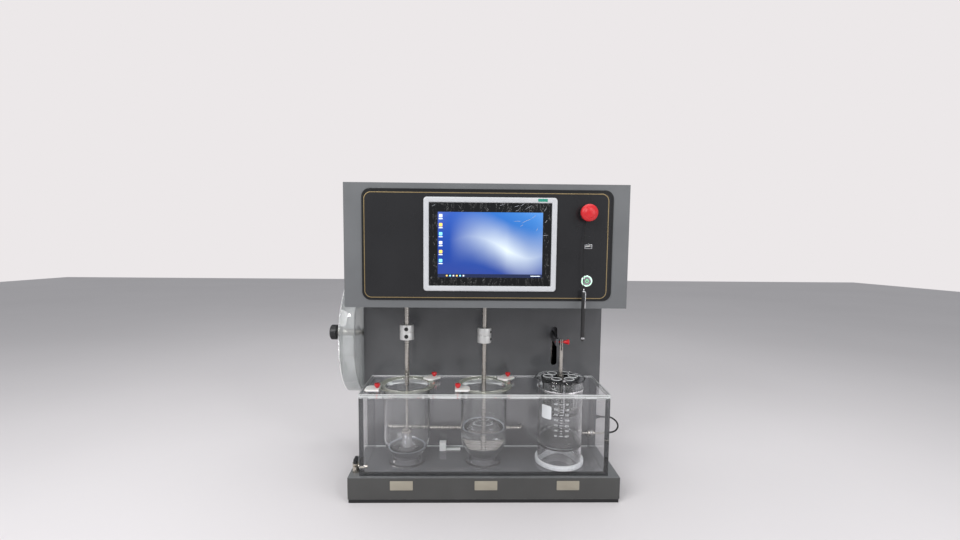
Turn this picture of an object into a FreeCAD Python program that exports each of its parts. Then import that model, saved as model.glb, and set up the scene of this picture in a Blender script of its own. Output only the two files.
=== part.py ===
# Tablet tester for the bench: two stirred vessels and a dipping rack in one heated water bath,
# a tumbling drum on the left side, and a head with the screen and drives.
# X runs to the right, Y to the back and Z up. The origin is the centre of the face it stands on.
import FreeCAD
import Part
import Sketcher
import math
import os
from types import SimpleNamespace

# Every size in millimetres, every angle in degrees.
SIZES = {
    # Casing
    "case_width": 600, "case_depth": 360, "case_sheet": 2,
    "base_height": 58, "plinth_height": 8.7, "plinth_inset": 1.5, "plinth_wall": 10,
    "plinth_floor": 2.5, "head_clear": 88, "head_height": 261, "column_width": 590,
    "column_setback": 158,
    # Rear cover
    "vent_length": 120, "vent_width": 5, "vent_pitch": 12, "vent_rise": 126,
    # Fits
    "running_gap": 0.05, "seat_gap": 0.3, "loose_gap": 0.5, "overrun": 5,
    # Front panel and screen
    "panel_width": 527, "panel_height": 233, "panel_rise": 16, "panel_shift": 1.5,
    "panel_sheet": 2, "panel_corner": 18,
    "bezel_width": 279, "bezel_height": 196, "bezel_shift": 6.5, "bezel_rise": 20,
    "bezel_rim": 11.5, "bezel_thick": 6, "bezel_corner": 7,
    "glass_recess": 1.2, "module_margin": 6, "module_depth": 30,
    # Controls on the panel
    "control_x": 209, "stop_rise": 185, "stop_flange_radius": 15, "stop_flange": 4,
    "stop_neck_radius": 12, "stop_neck": 8, "stop_barrel_radius": 10.8, "stop_barrel": 22,
    "stop_stem_radius": 8, "stop_travel": 5, "stop_cap_gap": 6, "stop_cap_radius": 17.6,
    "stop_cap_edge": 8, "stop_cap_dome": 8, "stop_cap_crown": 5, "stop_cap_bevel": 2,
    "power_shift": 3, "power_rise": 43, "power_ring_radius": 12.5, "power_ring": 3,
    "power_barrel_radius": 10.8, "power_barrel": 20, "power_cap_radius": 9,
    "power_proud": 1.5, "power_travel": 2.5, "power_bevel": 0.8, "control_floor": 2,
    "usb_shift": 4.5, "usb_rise": 115.5, "usb_width": 16, "usb_height": 9, "usb_depth": 18,
    "usb_proud": 0.8, "usb_mouth_width": 12.6, "usb_mouth_height": 5.4, "usb_mouth_depth": 13,
    # Water bath
    "tank_width": 551, "tank_inset": 8.8, "tank_wall": 9, "tank_floor": 6.7,
    "tank_height": 174.7, "lid_thick": 10, "lid_hole_gap": 1, "beaker_hole_gap": 1.5,
    "station_pitch": 178, "station_setback": 74,
    # Vessels, clips and stands
    "vessel_radius": 53, "vessel_wall": 2.5, "vessel_lift": 7.3, "vessel_rim_radius": 64.6,
    "vessel_rim": 4.5, "ring_radius": 33, "ring_wall": 4, "ring_height": 14.8,
    "ring_flange_radius": 42, "ring_flange": 2.5,
    "clip_distance": 76, "clip_front_angle": 218, "clip_back_angle": 38, "clip_half_foot": 6,
    "clip_half_foot_width": 9, "clip_lip": 27, "clip_half_lip": 16, "clip_corner": 6,
    "clip_left_front_turn": 0, "clip_middle_front_turn": 180, "clip_back_turn": 45,
    "clip_rest_gap": 0.1, "clip_thick": 4, "screw_radius": 2, "screw_depth": 8.5,
    "knob_neck_radius": 3, "knob_radius": 6, "knob_taper": 4.5, "knob_head": 5,
    # Beaker, its stand and the rack in it
    "beaker_radius": 52, "beaker_wall": 2.2, "beaker_height": 152, "beaker_lip_radius": 57,
    "beaker_lip_height": 8, "beaker_lip": 2, "stand_radius": 50.5, "stand_wall": 5,
    "stand_top": 6, "stand_height": 47.2, "stand_flange_radius": 56, "stand_flange": 10,
    "rack_radius": 44, "rack_plate": 6, "rack_height": 80,
    "rack_tube_ring_radius": 29, "rack_tube_radius": 11.9, "rack_tube_wall": 1.5,
    "rack_tube_proud": 2, "rack_ledge": 2, "tie_ring_radius": 39, "tie_radius": 2,
    "tie_nut_radius": 4.5, "tie_nut": 4,
    "hanger_radius": 4.5, "hanger_past": 7, "hanger_slot": 2.6, "hanger_slot_depth": 26,
    "hanger_collar_radius": 8, "hanger_collar": 4,
    # Lift drive
    "slot_width": 15, "slot_below": 76, "slot_above": 21, "arm_rise": 82,
    "arm_tall": 16, "arm_thick": 7, "arm_offset": 10.5, "arm_past": 6, "arm_shift": 2.5,
    "lift_setback": 32, "lift_depth": 32, "lift_rod_spread": 32, "lift_rod_radius": 5,
    "lift_screw_radius": 6, "lift_edge": 12, "lift_block": 12, "block_below": 100,
    "block_above": 54, "carriage_tall": 36, "tab_width": 3.6, "tab_drop": 18, "tab_thick": 3,
    "pin_radius": 2, "pin_neck": 1.5, "pin_knob_length": 10, "pin_knob_rim": 2,
    # Spindles, belt and motors
    "spindle_radius": 5, "spindle_reach": 71, "flange_radius": 22, "flange_thick": 5,
    "hub_radius": 15, "hub_height": 34, "boss_radius": 11, "pulley_radius": 25,
    "pulley_flange": 3, "pulley_flange_thick": 1.5, "pulley_width": 15, "pulley_rise": 47,
    "motor_pulley_radius": 12, "motor_pulley_bore": 4, "belt_thick": 1.5, "belt_width": 12,
    "belt_gap": 0.3, "motor_size": 57, "motor_tall": 42, "motor_bore_depth": 22,
    "motor_setback": 46, "lift_motor_tall": 60,
    "coupling_radius": 16, "coupling_tall": 34, "coupling_groove": 1, "coupling_cut": 1.5,
    "left_coupling_drop": 83, "middle_coupling_drop": 89.5, "shaft_gap": 3,
    "shaft_step_height": 243, "shaft_thin_radius": 3, "basket_bottom": 96, "basket_tall": 37,
    "basket_radius": 11.1, "basket_wall": 1, "basket_disc_radius": 12.5, "basket_disc": 5,
    "paddle_bottom": 99.5, "paddle_tall": 19, "paddle_half_top": 37.2, "paddle_half_foot": 21,
    "paddle_thick": 4,
    # Fittings of the bath
    "heater_radius": 4, "heater_rise": 118, "heater_bend": 8, "heater_back": 20,
    "heater_left": -240, "heater_right": 96,
    "nozzle_x": -97, "nozzle_back": 28, "nozzle_size": 16, "nozzle_tall": 21, "nozzle_bar": 43,
    "nozzle_bar_tall": 4, "nozzle_bar_width": 8, "spigot_radius": 4, "spigot_depth": 22,
    "pump_width": 70, "pump_depth": 44, "pump_height": 46,
    "probe_back": 20, "probe_height": 104, "probe_radius": 2.5, "probe_inner": 175,
    "probe_outer": 309, "gland_radius": 7, "gland_neck_radius": 5, "gland_inner": 4,
    "gland_outer": 9, "relief_radius": 6.5, "relief_flange": 3, "relief_end_radius": 3.4,
    "relief_reach": 14, "relief_neck_radius": 4.8, "relief_setback": 20, "relief_rise": 27,
    "cable_diameter": 4, "tether_diameter": 1.2,
    "valve_x": -287.5, "valve_y": -152, "valve_radius": 7, "valve_tall": 22, "valve_axis": 14,
    "valve_pipe_radius": 4, "valve_nipple": 6, "valve_outlet": 14, "lever_radius": 2.5,
    "lever_stem": 10, "lever_length": 20, "lever_width": 6,
    # Tumbling drum
    "drum_y": 65, "drum_z": 335, "drum_radius": 152, "drum_wall": 3, "drum_deep": 39,
    "drum_side_gap": 7, "drum_hub_radius": 9, "drum_axle_radius": 6, "drum_hub_reach": 40,
    "drum_collar_radius": 12.5, "drum_collar": 6, "drum_stud_radius": 5, "drum_stud": 12,
    "drum_knob_radius": 19.8, "drum_knob_waist_radius": 13, "drum_knob_length": 19,
    "drum_knob_bevel": 3, "vane_radius": 80.5, "vane_thick": 3,
    "gear_motor_radius": 30, "gear_motor_length": 68, "gear_boss_radius": 14,
    "gear_boss_reach": 4, "gear_bore": 32,
    # Stylus
    "stylus_shift": 6.4, "stylus_gap": 16, "stylus_drop": 157.1, "stylus_length": 111.5,
    "stylus_radius": 4.15, "stylus_tip_radius": 3.9, "stylus_tip": 5, "stylus_ring_radius": 4.6,
    "stylus_ring": 3.5, "stylus_cap": 3, "stylus_eye": 4, "stylus_eye_radius": 1.2,
    "pen_clip_width": 2, "pen_clip_shift": 2.2, "pen_clip_reach": 1.2, "pen_clip_length": 34,
    # Electrics
    "supply_width": 120, "supply_depth": 90, "supply_height": 45, "supply_front": 40,
    "board_width": 240, "board_height": 140, "board_thick": 2, "board_rise": 66,
    "board_standoff": 16, "standoff_radius": 3, "standoff_inset": 8, "chip_height": 9,
    "inlet_x": 200, "inlet_z": 110, "inlet_flange_width": 48, "inlet_flange_height": 28,
    "inlet_flange": 2.5, "inlet_width": 30, "inlet_height": 24, "inlet_depth": 30,
    "inlet_mouth_width": 25, "inlet_mouth_height": 18, "inlet_mouth_depth": 17,
    "inlet_pin_width": 2, "inlet_pin_height": 4, "inlet_pin_length": 10, "inlet_pin_spread": 7,
}

# The tether's route from the stop button's middle, and the probe cable's from the probe's end, as
# points chosen by hand.
TETHER_ROUTE = [(-3.0, -6.0, -12.0), (-5.6, -7.2, -35.0), (-8.3, -12.6, -64.0),
                (-9.7, -15.6, -95.0), (-8.6, -16.1, -126.0), (-6.4, -16.0, -157.0)]
CABLE_ROUTE = [(0.0, 0.0, 0.0), (16.5, 0.0, 0.0), (31.0, 7.7, 5.0), (37.5, 19.6, 13.0),
               (32.5, 32.1, 21.5), (17.5, 40.3, 27.0), (0.0, 40.3, 27.0)]
ARC_SHARE = 0.45
CHIP_PLACE_SHARES = (-0.3, 0.05, 0.3)

doc = FreeCAD.newDocument("TabletTester")
sheet = doc.addObject("Spreadsheet::Sheet", "Sizes")
for row, (alias, number) in enumerate(SIZES.items(), start=1):
    sheet.set("A%d" % row, alias)
    sheet.set("B%d" % row, str(number))
    sheet.setAlias("B%d" % row, alias)
doc.recompute()


class Size:
    """A size with its formula in the sheet's names and its present value."""

    def __init__(self, text, value):
        self.text = text
        self.value = value

    def __add__(self, other):
        other = as_size(other)
        return Size("(%s + %s)" % (self.text, other.text), self.value + other.value)

    def __sub__(self, other):
        other = as_size(other)
        return Size("(%s - %s)" % (self.text, other.text), self.value - other.value)

    def __mul__(self, other):
        other = as_size(other)
        return Size("(%s * %s)" % (self.text, other.text), self.value * other.value)

    def __truediv__(self, other):
        other = as_size(other)
        return Size("(%s / %s)" % (self.text, other.text), self.value / other.value)

    def __neg__(self):
        return Size("(0 - %s)" % self.text, -self.value)

    def __radd__(self, other):
        return as_size(other) + self

    def __rsub__(self, other):
        return as_size(other) - self


def as_size(number):
    return number if isinstance(number, Size) else Size(repr(number), float(number))


def cosine(angle):
    return Size("cos(%s)" % angle.text, math.cos(math.radians(angle.value)))


def sine(angle):
    return Size("sin(%s)" % angle.text, math.sin(math.radians(angle.value)))


size = SimpleNamespace(**{alias: Size("Sizes.%s" % alias, float(sheet.get(alias)))
                          for alias in SIZES})
ZERO = as_size(0)
TURNS = {
    "Z": FreeCAD.Rotation(),
    "X": FreeCAD.Rotation(FreeCAD.Vector(0, 1, 0), 90),
    "-X": FreeCAD.Rotation(FreeCAD.Vector(0, 1, 0), -90),
    "Y": FreeCAD.Rotation(FreeCAD.Vector(1, 0, 0), -90),
    "-Y": FreeCAD.Rotation(FreeCAD.Vector(1, 0, 0), 90),
}
nodes = []


def bind(thing, **sizes):
    for prop, amount in sizes.items():
        thing.setExpression(prop, as_size(amount).text)
    return thing


def place(thing, x=ZERO, y=ZERO, z=ZERO, axis="Z"):
    thing.Placement = FreeCAD.Placement(FreeCAD.Vector(0, 0, 0), TURNS[axis])
    for letter, amount in zip("xyz", (x, y, z)):
        thing.setExpression("Placement.Base.%s" % letter, as_size(amount).text)
    return thing


def node(thing, label):
    thing.Label = label
    nodes.append(thing)
    return thing


def block(x, y, z):
    """A box between two limits along each axis."""
    box = doc.addObject("Part::Box", "Block")
    bind(box, Length=x[1] - x[0], Width=y[1] - y[0], Height=z[1] - z[0])
    return place(box, x[0], y[0], z[0])


def around(middle, width):
    return (middle - width / 2, middle + width / 2)


def rod(x, y, z, radius, length, axis="Z"):
    bar = doc.addObject("Part::Cylinder", "Rod")
    bind(bar, Radius=radius, Height=length)
    return place(bar, x, y, z, axis)


def fuse(*things):
    whole = doc.addObject("Part::MultiFuse", "Joined")
    whole.Shapes = list(things)
    whole.Refine = True
    return whole


def cut(thing, *tools):
    result = doc.addObject("Part::Cut", "Cut")
    result.Base = thing
    result.Tool = tools[0] if len(tools) == 1 else fuse(*tools)
    result.Refine = True
    return result


def common(first, second):
    result = doc.addObject("Part::Common", "Common")
    result.Base = first
    result.Tool = second
    return result


def group(*things):
    result = doc.addObject("Part::Compound", "Group")
    result.Links = list(things)
    return result


def loop_lines(points, arcs=None):
    """A closed loop: its corners, and the centre of each stretch that is an arc."""
    return {"points": points, "arcs": arcs or {}}


def loop_circle(x, y, radius):
    return {"circle": (x, y, radius)}


def loop_box(x, y):
    return loop_lines([(x[0], y[0]), (x[1], y[0]), (x[1], y[1]), (x[0], y[1])])


def loop_rounded(x, y, r):
    points = [(x[0] + r, y[0]), (x[1] - r, y[0]), (x[1], y[0] + r), (x[1], y[1] - r),
              (x[1] - r, y[1]), (x[0] + r, y[1]), (x[0], y[1] - r), (x[0], y[0] + r)]
    arcs = {1: (x[1] - r, y[0] + r), 3: (x[1] - r, y[1] - r),
            5: (x[0] + r, y[1] - r), 7: (x[0] + r, y[0] + r)}
    return loop_lines(points, arcs)


def fix(sketch, edge, end, x, y):
    """Hold one point of an edge at its place from the sketch's origin."""
    for kind, amount in (("DistanceX", x), ("DistanceY", y)):
        index = sketch.addConstraint(Sketcher.Constraint(kind, -1, 1, edge, end, amount.value))
        sketch.setExpression("Constraints[%d]" % index, amount.text)


def draw_circle(sketch, x, y, radius):
    circle = Part.Circle(FreeCAD.Vector(x.value, y.value, 0), FreeCAD.Vector(0, 0, 1), radius.value)
    edge = sketch.addGeometry(circle, False)
    fix(sketch, edge, 3, x, y)
    index = sketch.addConstraint(Sketcher.Constraint("Radius", edge, radius.value))
    sketch.setExpression("Constraints[%d]" % index, radius.text)


def draw_arc(sketch, start, end, centre):
    """An arc the short way round its centre; gives the edge and its two end numbers."""
    angles = []
    for point in (start, end):
        angles.append(math.atan2(point[1].value - centre[1].value, point[0].value - centre[0].value))
    radius = math.hypot(start[0].value - centre[0].value, start[1].value - centre[1].value)
    forward = (angles[1] - angles[0]) % (2 * math.pi) < math.pi
    first, last = (angles[0], angles[1]) if forward else (angles[1], angles[0])
    middle = FreeCAD.Vector(centre[0].value, centre[1].value, 0)
    circle = Part.Circle(middle, FreeCAD.Vector(0, 0, 1), radius)
    edge = sketch.addGeometry(Part.ArcOfCircle(circle, first, last), False)
    index = sketch.addConstraint(Sketcher.Constraint("DistanceX", -1, 1, edge, 3, centre[0].value))
    sketch.setExpression("Constraints[%d]" % index, centre[0].text)
    return (edge, 1, 2) if forward else (edge, 2, 1)


def draw_loop(sketch, points, arcs):
    points = [(as_size(x), as_size(y)) for x, y in points]
    edges = []
    for index, start in enumerate(points):
        end = points[(index + 1) % len(points)]
        if index in arcs:
            centre = [as_size(part) for part in arcs[index]]
            edges.append(draw_arc(sketch, start, end, centre))
            continue
        line = Part.LineSegment(FreeCAD.Vector(start[0].value, start[1].value, 0),
                                FreeCAD.Vector(end[0].value, end[1].value, 0))
        edges.append((sketch.addGeometry(line, False), 1, 2))
    for index, (edge, first, last) in enumerate(edges):
        follower = edges[(index + 1) % len(edges)]
        sketch.addConstraint(Sketcher.Constraint("Coincident", edge, last, follower[0], follower[1]))
        fix(sketch, edge, first, *points[index])


def sketch_in(body, role, loops):
    sketch = body.newObject("Sketcher::SketchObject", "Profile")
    plane = [feature for feature in body.Origin.OriginFeatures if feature.Role == role][0]
    sketch.AttachmentSupport = [(plane, "")]
    sketch.MapMode = "FlatFace"
    for loop in loops:
        if "circle" in loop:
            draw_circle(sketch, *[as_size(part) for part in loop["circle"]])
        else:
            draw_loop(sketch, loop["points"], loop["arcs"])
    return sketch


def turned(points, x=ZERO, y=ZERO, z=ZERO, axis="Z", arcs=None):
    """A piece turned about its own Z from a half section of radius and height."""
    body = doc.addObject("PartDesign::Body", "Turned")
    sketch = sketch_in(body, "XZ_Plane", [loop_lines(points, arcs)])
    revolution = body.newObject("PartDesign::Revolution", "Revolution")
    revolution.Profile = sketch
    revolution.ReferenceAxis = (sketch, ["V_Axis"])
    revolution.Angle = 360
    sketch.Visibility = False
    return place(body, x, y, z, axis)


def plate(loops, thick, x=ZERO, y=ZERO, z=ZERO, role="XY_Plane"):
    """A flat piece: up from XY_Plane, or towards the front from XZ_Plane."""
    body = doc.addObject("PartDesign::Body", "Plate")
    sketch = sketch_in(body, role, loops)
    pad = body.newObject("PartDesign::Pad", "Pad")
    pad.Profile = sketch
    bind(pad, Length=thick)
    sketch.Visibility = False
    return place(body, x, y, z)


def drawn(shape):
    """A piece whose shape is worked out directly from the sheet's present values."""
    feature = doc.addObject("Part::Feature", "Drawn")
    feature.Shape = shape
    return feature


def point(x, y, z):
    return FreeCAD.Vector(float(x), float(y), float(z))


def rounded_path(points, radius=None):
    """Straight runs joined by tangent arcs; each radius is as large as its two runs allow."""
    edges = []
    radii = []
    here = points[0]
    for before, corner, after in zip(points, points[1:], points[2:]):
        back = before - corner
        ahead = after - corner
        turn = math.pi - back.getAngle(ahead)
        bend = radius or ARC_SHARE * min(back.Length, ahead.Length) / math.tan(turn / 2)
        reach = bend * math.tan(turn / 2)
        back.normalize()
        ahead.normalize()
        first = corner + back * reach
        last = corner + ahead * reach
        inward = back + ahead
        inward.normalize()
        middle = corner + inward * (bend / math.cos(turn / 2) - bend)
        edges.append(Part.LineSegment(here, first).toShape())
        edges.append(Part.Arc(first, middle, last).toShape())
        radii.append(round(bend, 1))
        here = last
    edges.append(Part.LineSegment(here, points[-1]).toShape())
    return Part.Wire(edges), radii


def route_from(start, steps):
    """A route's points, each a step away from its start."""
    return [point(*(part.value + step for part, step in zip(start, move))) for move in steps]


def tube(points, diameter, radius=None):
    path, radii = rounded_path(points, radius)
    run = points[1] - points[0]
    ring = Part.Wire(Part.Circle(points[0], run, diameter / 2).toShape())
    solid = path.makePipeShell([ring], True, False)
    share = solid.Volume / (math.pi * diameter ** 2 / 4 * path.Length)
    print("tube: length %.1f, radii %s, volume share %.4f" % (path.Length, radii, share))
    return solid


# Shared places
half_width = size.case_width / 2
front = -(size.case_depth / 2)
back = size.case_depth / 2
cover_face = back - size.case_sheet
column_half = size.column_width / 2
column_front = front + size.column_setback
column_inside = column_front + size.case_sheet
panel_face = front - size.panel_sheet
tank_half = size.tank_width / 2
tank_front = front + size.tank_inset
tank_back = column_front - size.seat_gap
tank_inner = size.base_height + size.tank_floor
tank_top = size.base_height + size.tank_height
lid_top = tank_top + size.lid_thick
beaker_low = tank_inner + size.stand_height + size.clip_rest_gap
rack_top = beaker_low + size.beaker_height
arm_z = rack_top + size.arm_rise
hanger_top = arm_z + size.hanger_past
block_low = arm_z - size.block_below
block_high = arm_z + size.block_above
head_bottom = arm_z + size.head_clear
case_top = head_bottom + size.head_height
panel_low = head_bottom + size.panel_rise
bezel_low = panel_low + size.bezel_rise
stop_z = panel_low + size.stop_rise
power_z = panel_low + size.power_rise
usb_z = panel_low + size.usb_rise
spindle_top = head_bottom + size.spindle_reach
pulley_low = head_bottom + size.pulley_rise
left_coupling_low = head_bottom - size.left_coupling_drop
middle_coupling_low = head_bottom - size.middle_coupling_drop
station_y = front + size.station_setback
left_x = -size.station_pitch
right_x = size.station_pitch
lift_y = column_inside + size.lift_setback
motor_x = left_x / 2
motor_y = station_y + size.motor_setback
relief_y = column_front + size.relief_setback
relief_z = size.probe_height + size.relief_rise
stylus_x = size.control_x - size.stylus_shift
stylus_top = stop_z - size.stylus_drop
board_low = head_bottom + size.board_rise
stop_hole = size.stop_barrel_radius + size.seat_gap
power_x = size.control_x + size.power_shift
power_hole = size.power_barrel_radius + size.seat_gap
usb_x = size.control_x + size.usb_shift
bezel_x = around(size.bezel_shift, size.bezel_width)
bezel_z = (bezel_low, bezel_low + size.bezel_height)
glass_x = (bezel_x[0] + size.bezel_rim, bezel_x[1] - size.bezel_rim)
glass_z = (bezel_z[0] + size.bezel_rim, bezel_z[1] - size.bezel_rim)
module_x = (glass_x[0] + size.module_margin, glass_x[1] - size.module_margin)
module_z = (glass_z[0] + size.module_margin, glass_z[1] - size.module_margin)
drum_inner = -column_half - size.drum_side_gap
drum_outer = drum_inner - size.drum_deep
probe_y = tank_back - size.probe_back
heater_y = tank_back - size.heater_back
nozzle_y = tank_back - size.nozzle_back
shaft_bore = size.spindle_radius + size.running_gap


def wider(limits, gap):
    return (limits[0] - gap, limits[1] + gap)


def base():
    inset = half_width - size.plinth_inset
    tray = block((-inset, inset), (front + size.plinth_inset, back - size.plinth_inset),
                 (ZERO, size.plinth_height))
    room = inset - size.plinth_wall
    hollow = block((-room, room), (front + size.plinth_inset + size.plinth_wall,
                                   back - size.plinth_inset - size.plinth_wall),
                   (size.plinth_floor, size.plinth_height + size.overrun))
    node(cut(tray, hollow), "base_plinth")
    shell = block((-half_width, half_width), (front, back), (size.plinth_height, size.base_height))
    inner = half_width - size.case_sheet
    room = block((-inner, inner), (front + size.case_sheet, back - size.case_sheet),
                 (size.plinth_height - size.overrun, size.base_height - size.case_sheet))
    spigot = rod(size.nozzle_x, nozzle_y, size.base_height - size.overrun,
                 size.spigot_radius + size.seat_gap, size.overrun * 2)
    node(cut(shell, room, spigot), "base_shell")


def long_slot(x, width, z, y, deep):
    """A slot with round ends, cut through along Y."""
    low = z[0] + width / 2
    high = z[1] - width / 2
    return fuse(block(around(x, width), (y, y + deep), (low, high)),
                rod(x, y, low, width / 2, deep, "Y"),
                rod(x, y, high, width / 2, deep, "Y"))


def column():
    shell = block((-column_half, column_half), (column_front, cover_face),
                  (size.base_height, head_bottom))
    inner = column_half - size.case_sheet
    room = block((-inner, inner), (column_inside, cover_face + size.overrun),
                 (size.base_height - size.overrun, head_bottom + size.overrun))
    through = size.case_sheet + size.overrun * 2
    slot = long_slot(right_x, size.slot_width, (arm_z - size.slot_below, arm_z + size.slot_above),
                     column_front - size.overrun, through)
    boss = rod(-column_half - size.overrun, size.drum_y, size.drum_z,
               size.gear_boss_radius + size.seat_gap, through, "X")
    relief = rod(column_half - through + size.overrun, relief_y, relief_z,
                 size.relief_neck_radius + size.seat_gap, through, "X")
    pipes = [rod(x, column_front - size.overrun, size.heater_rise,
                 size.heater_radius + size.seat_gap, through, "Y")
             for x in (size.heater_left, size.heater_right)]
    node(cut(shell, room, slot, boss, relief, *pipes), "column_shell")


def rear_cover():
    outline = loop_lines([(-column_half, size.base_height), (column_half, size.base_height),
                          (column_half, head_bottom), (half_width, head_bottom),
                          (half_width, case_top), (-half_width, case_top),
                          (-half_width, head_bottom), (-column_half, head_bottom)])
    inlet = loop_box(around(size.inlet_x, size.inlet_width + size.loose_gap),
                     around(size.inlet_z, size.inlet_height + size.loose_gap))
    sheet_metal = plate([outline, inlet], size.case_sheet, y=back, role="XZ_Plane")
    vents = []
    for side in (-1, 1):
        middle = size.vent_length * side
        for step in range(6):
            low = head_bottom + size.vent_rise + size.vent_pitch * step
            vents.append(block(around(middle, size.vent_length),
                               (cover_face - size.overrun, back + size.overrun),
                               (low, low + size.vent_width)))
    node(cut(sheet_metal, *vents), "rear_cover")


def head():
    back = front + size.case_sheet
    shell = block((-half_width, half_width), (back, cover_face), (head_bottom, case_top))
    face = block((-half_width, half_width), (front, back), (head_bottom, case_top))
    inner = half_width - size.case_sheet
    room = block((-inner, inner), (back - size.overrun, cover_face + size.overrun),
                 (head_bottom + size.case_sheet, case_top - size.case_sheet))
    well = column_half - size.case_sheet
    opening = block((-well, well), (column_inside, cover_face + size.overrun),
                    (head_bottom - size.overrun, head_bottom + size.overrun))
    through = size.case_sheet + size.overrun * 2
    start = front - size.overrun
    screen = block(wider(module_x, size.loose_gap), (start, start + through),
                   wider(module_z, size.loose_gap))
    stop = rod(size.control_x, start, stop_z, stop_hole, through, "Y")
    power = rod(power_x, start, power_z, power_hole, through, "Y")
    usb = block(wider(around(usb_x, size.usb_width), size.seat_gap), (start, start + through),
                wider(around(usb_z, size.usb_height), size.seat_gap))
    bosses = [rod(x, station_y, head_bottom - size.overrun, size.boss_radius + size.seat_gap, through)
              for x in (left_x, ZERO)]
    node(group(cut(shell, room, opening, *bosses), cut(face, screen, stop, power, usb)), "head_shell")


def panel():
    outer = loop_rounded(around(size.panel_shift, size.panel_width),
                         (panel_low, panel_low + size.panel_height), size.panel_corner)
    loops = [outer, loop_box(wider(module_x, size.loose_gap), wider(module_z, size.loose_gap)),
             loop_circle(size.control_x, stop_z, stop_hole),
             loop_circle(power_x, power_z, power_hole),
             loop_box(wider(around(usb_x, size.usb_width), size.seat_gap),
                      wider(around(usb_z, size.usb_height), size.seat_gap))]
    node(plate(loops, size.panel_sheet, y=front, role="XZ_Plane"), "front_panel")
    frame = plate([loop_rounded(bezel_x, bezel_z, size.bezel_corner), loop_box(glass_x, glass_z)],
                  size.bezel_thick, y=panel_face, role="XZ_Plane")
    node(frame, "screen_bezel")
    glass = block(wider(glass_x, -size.seat_gap), (panel_face - size.bezel_thick + size.glass_recess,
                                                panel_face), wider(glass_z, -size.seat_gap))
    module = block(module_x, (panel_face, panel_face + size.module_depth), module_z)
    node(fuse(glass, module), "screen_display")


def usb_socket():
    shell = block(around(usb_x, size.usb_width), (panel_face - size.usb_proud,
                                               panel_face + size.usb_depth),
                  around(usb_z, size.usb_height))
    mouth = block(around(usb_x, size.usb_mouth_width),
                  (panel_face - size.usb_proud - size.overrun, panel_face + size.usb_mouth_depth),
                  around(usb_z, size.usb_mouth_height))
    node(cut(shell, mouth), "usb_socket")


def stop_button():
    at = {"x": size.control_x, "y": panel_face, "z": stop_z, "axis": "-Y"}
    bore = size.stop_stem_radius + size.running_gap
    depth = size.stop_barrel
    neck = size.stop_neck_radius
    points = [(0, -depth), (size.stop_barrel_radius, -depth), (size.stop_barrel_radius, 0),
              (size.stop_flange_radius, 0), (size.stop_flange_radius, size.stop_flange),
              (neck, size.stop_flange), (neck, size.stop_neck), (bore, size.stop_neck),
              (bore, size.control_floor - depth), (0, size.control_floor - depth)]
    node(turned(points, **at), "estop_collar")
    cap_low = size.stop_neck + size.stop_cap_gap
    edge = cap_low + size.stop_cap_edge
    top = edge + size.stop_cap_dome
    socket = top - size.stop_cap_crown
    stem_low = size.control_floor - size.stop_barrel + size.stop_travel + size.loose_gap
    node(turned([(0, stem_low), (size.stop_stem_radius, stem_low),
                 (size.stop_stem_radius, socket - size.seat_gap), (0, socket - size.seat_gap)], **at),
         "estop_stem")
    radius = size.stop_cap_radius
    dome_radius = (radius * radius / size.stop_cap_dome + size.stop_cap_dome) / 2
    cap = [(bore, cap_low), (size.stop_cap_radius - size.stop_cap_bevel, cap_low),
           (size.stop_cap_radius, cap_low + size.stop_cap_bevel), (size.stop_cap_radius, edge),
           (0, top), (0, socket), (bore, socket)]
    node(turned(cap, arcs={3: (0, top - dome_radius)}, **at), "estop_cap")


def power_button():
    at = {"x": power_x, "y": panel_face, "z": power_z, "axis": "-Y"}
    bore = size.power_cap_radius + size.running_gap
    flange = size.power_ring
    points = [(0, -size.power_barrel), (size.power_barrel_radius, -size.power_barrel),
              (size.power_barrel_radius, 0), (size.power_ring_radius, 0),
              (size.power_ring_radius, flange), (bore, flange),
              (bore, size.control_floor - size.power_barrel), (0, size.control_floor - size.power_barrel)]
    node(turned(points, **at), "power_button_ring")
    low = size.control_floor - size.power_barrel + size.power_travel + size.loose_gap
    top = flange + size.power_proud
    rim = size.power_cap_radius - size.power_bevel
    node(turned([(0, low), (size.power_cap_radius, low), (size.power_cap_radius, top - size.power_bevel),
                 (rim, top), (0, top)], **at), "power_button")


def bath():
    shell = block((-tank_half, tank_half), (tank_front, tank_back), (size.base_height, tank_top))
    inner = tank_half - size.tank_wall
    room = block((-inner, inner), (tank_front + size.tank_wall, tank_back - size.tank_wall),
                 (tank_inner, tank_top + size.overrun))
    through = size.tank_wall + size.overrun * 2
    pipes = [rod(x, tank_back - size.tank_wall - size.overrun, size.heater_rise,
                 size.heater_radius + size.seat_gap, through, "Y")
             for x in (size.heater_left, size.heater_right)]
    probe = rod(inner - size.overrun, probe_y, size.probe_height,
                size.gland_neck_radius + size.running_gap, through, "X")
    drain = rod(-tank_half - size.overrun, size.valve_y, size.base_height + size.valve_axis,
                size.valve_pipe_radius + size.running_gap, through, "X")
    spigot = rod(size.nozzle_x, nozzle_y, size.base_height - size.overrun,
                 size.spigot_radius + size.running_gap, size.tank_floor + size.overrun * 2)
    node(cut(shell, room, probe, drain, spigot, *pipes), "bath_tank")
    vessel_hole = size.vessel_radius + size.lid_hole_gap
    loops = [loop_box((-tank_half, tank_half), (tank_front, tank_back)),
             loop_circle(left_x, station_y, vessel_hole),
             loop_circle(0, station_y, vessel_hole),
             loop_circle(right_x, station_y, size.beaker_radius + size.beaker_hole_gap)]
    for x, y in screw_places():
        loops.append(loop_circle(x, y, size.screw_radius))
    node(plate(loops, size.lid_thick, z=tank_top), "bath_lid")


def clip_place(x, angle):
    return (x + size.clip_distance * cosine(angle), station_y + size.clip_distance * sine(angle))


def screw_places():
    return [clip_place(x, angle) for x in (left_x, ZERO)
            for angle in (size.clip_front_angle, size.clip_back_angle)]


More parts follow.
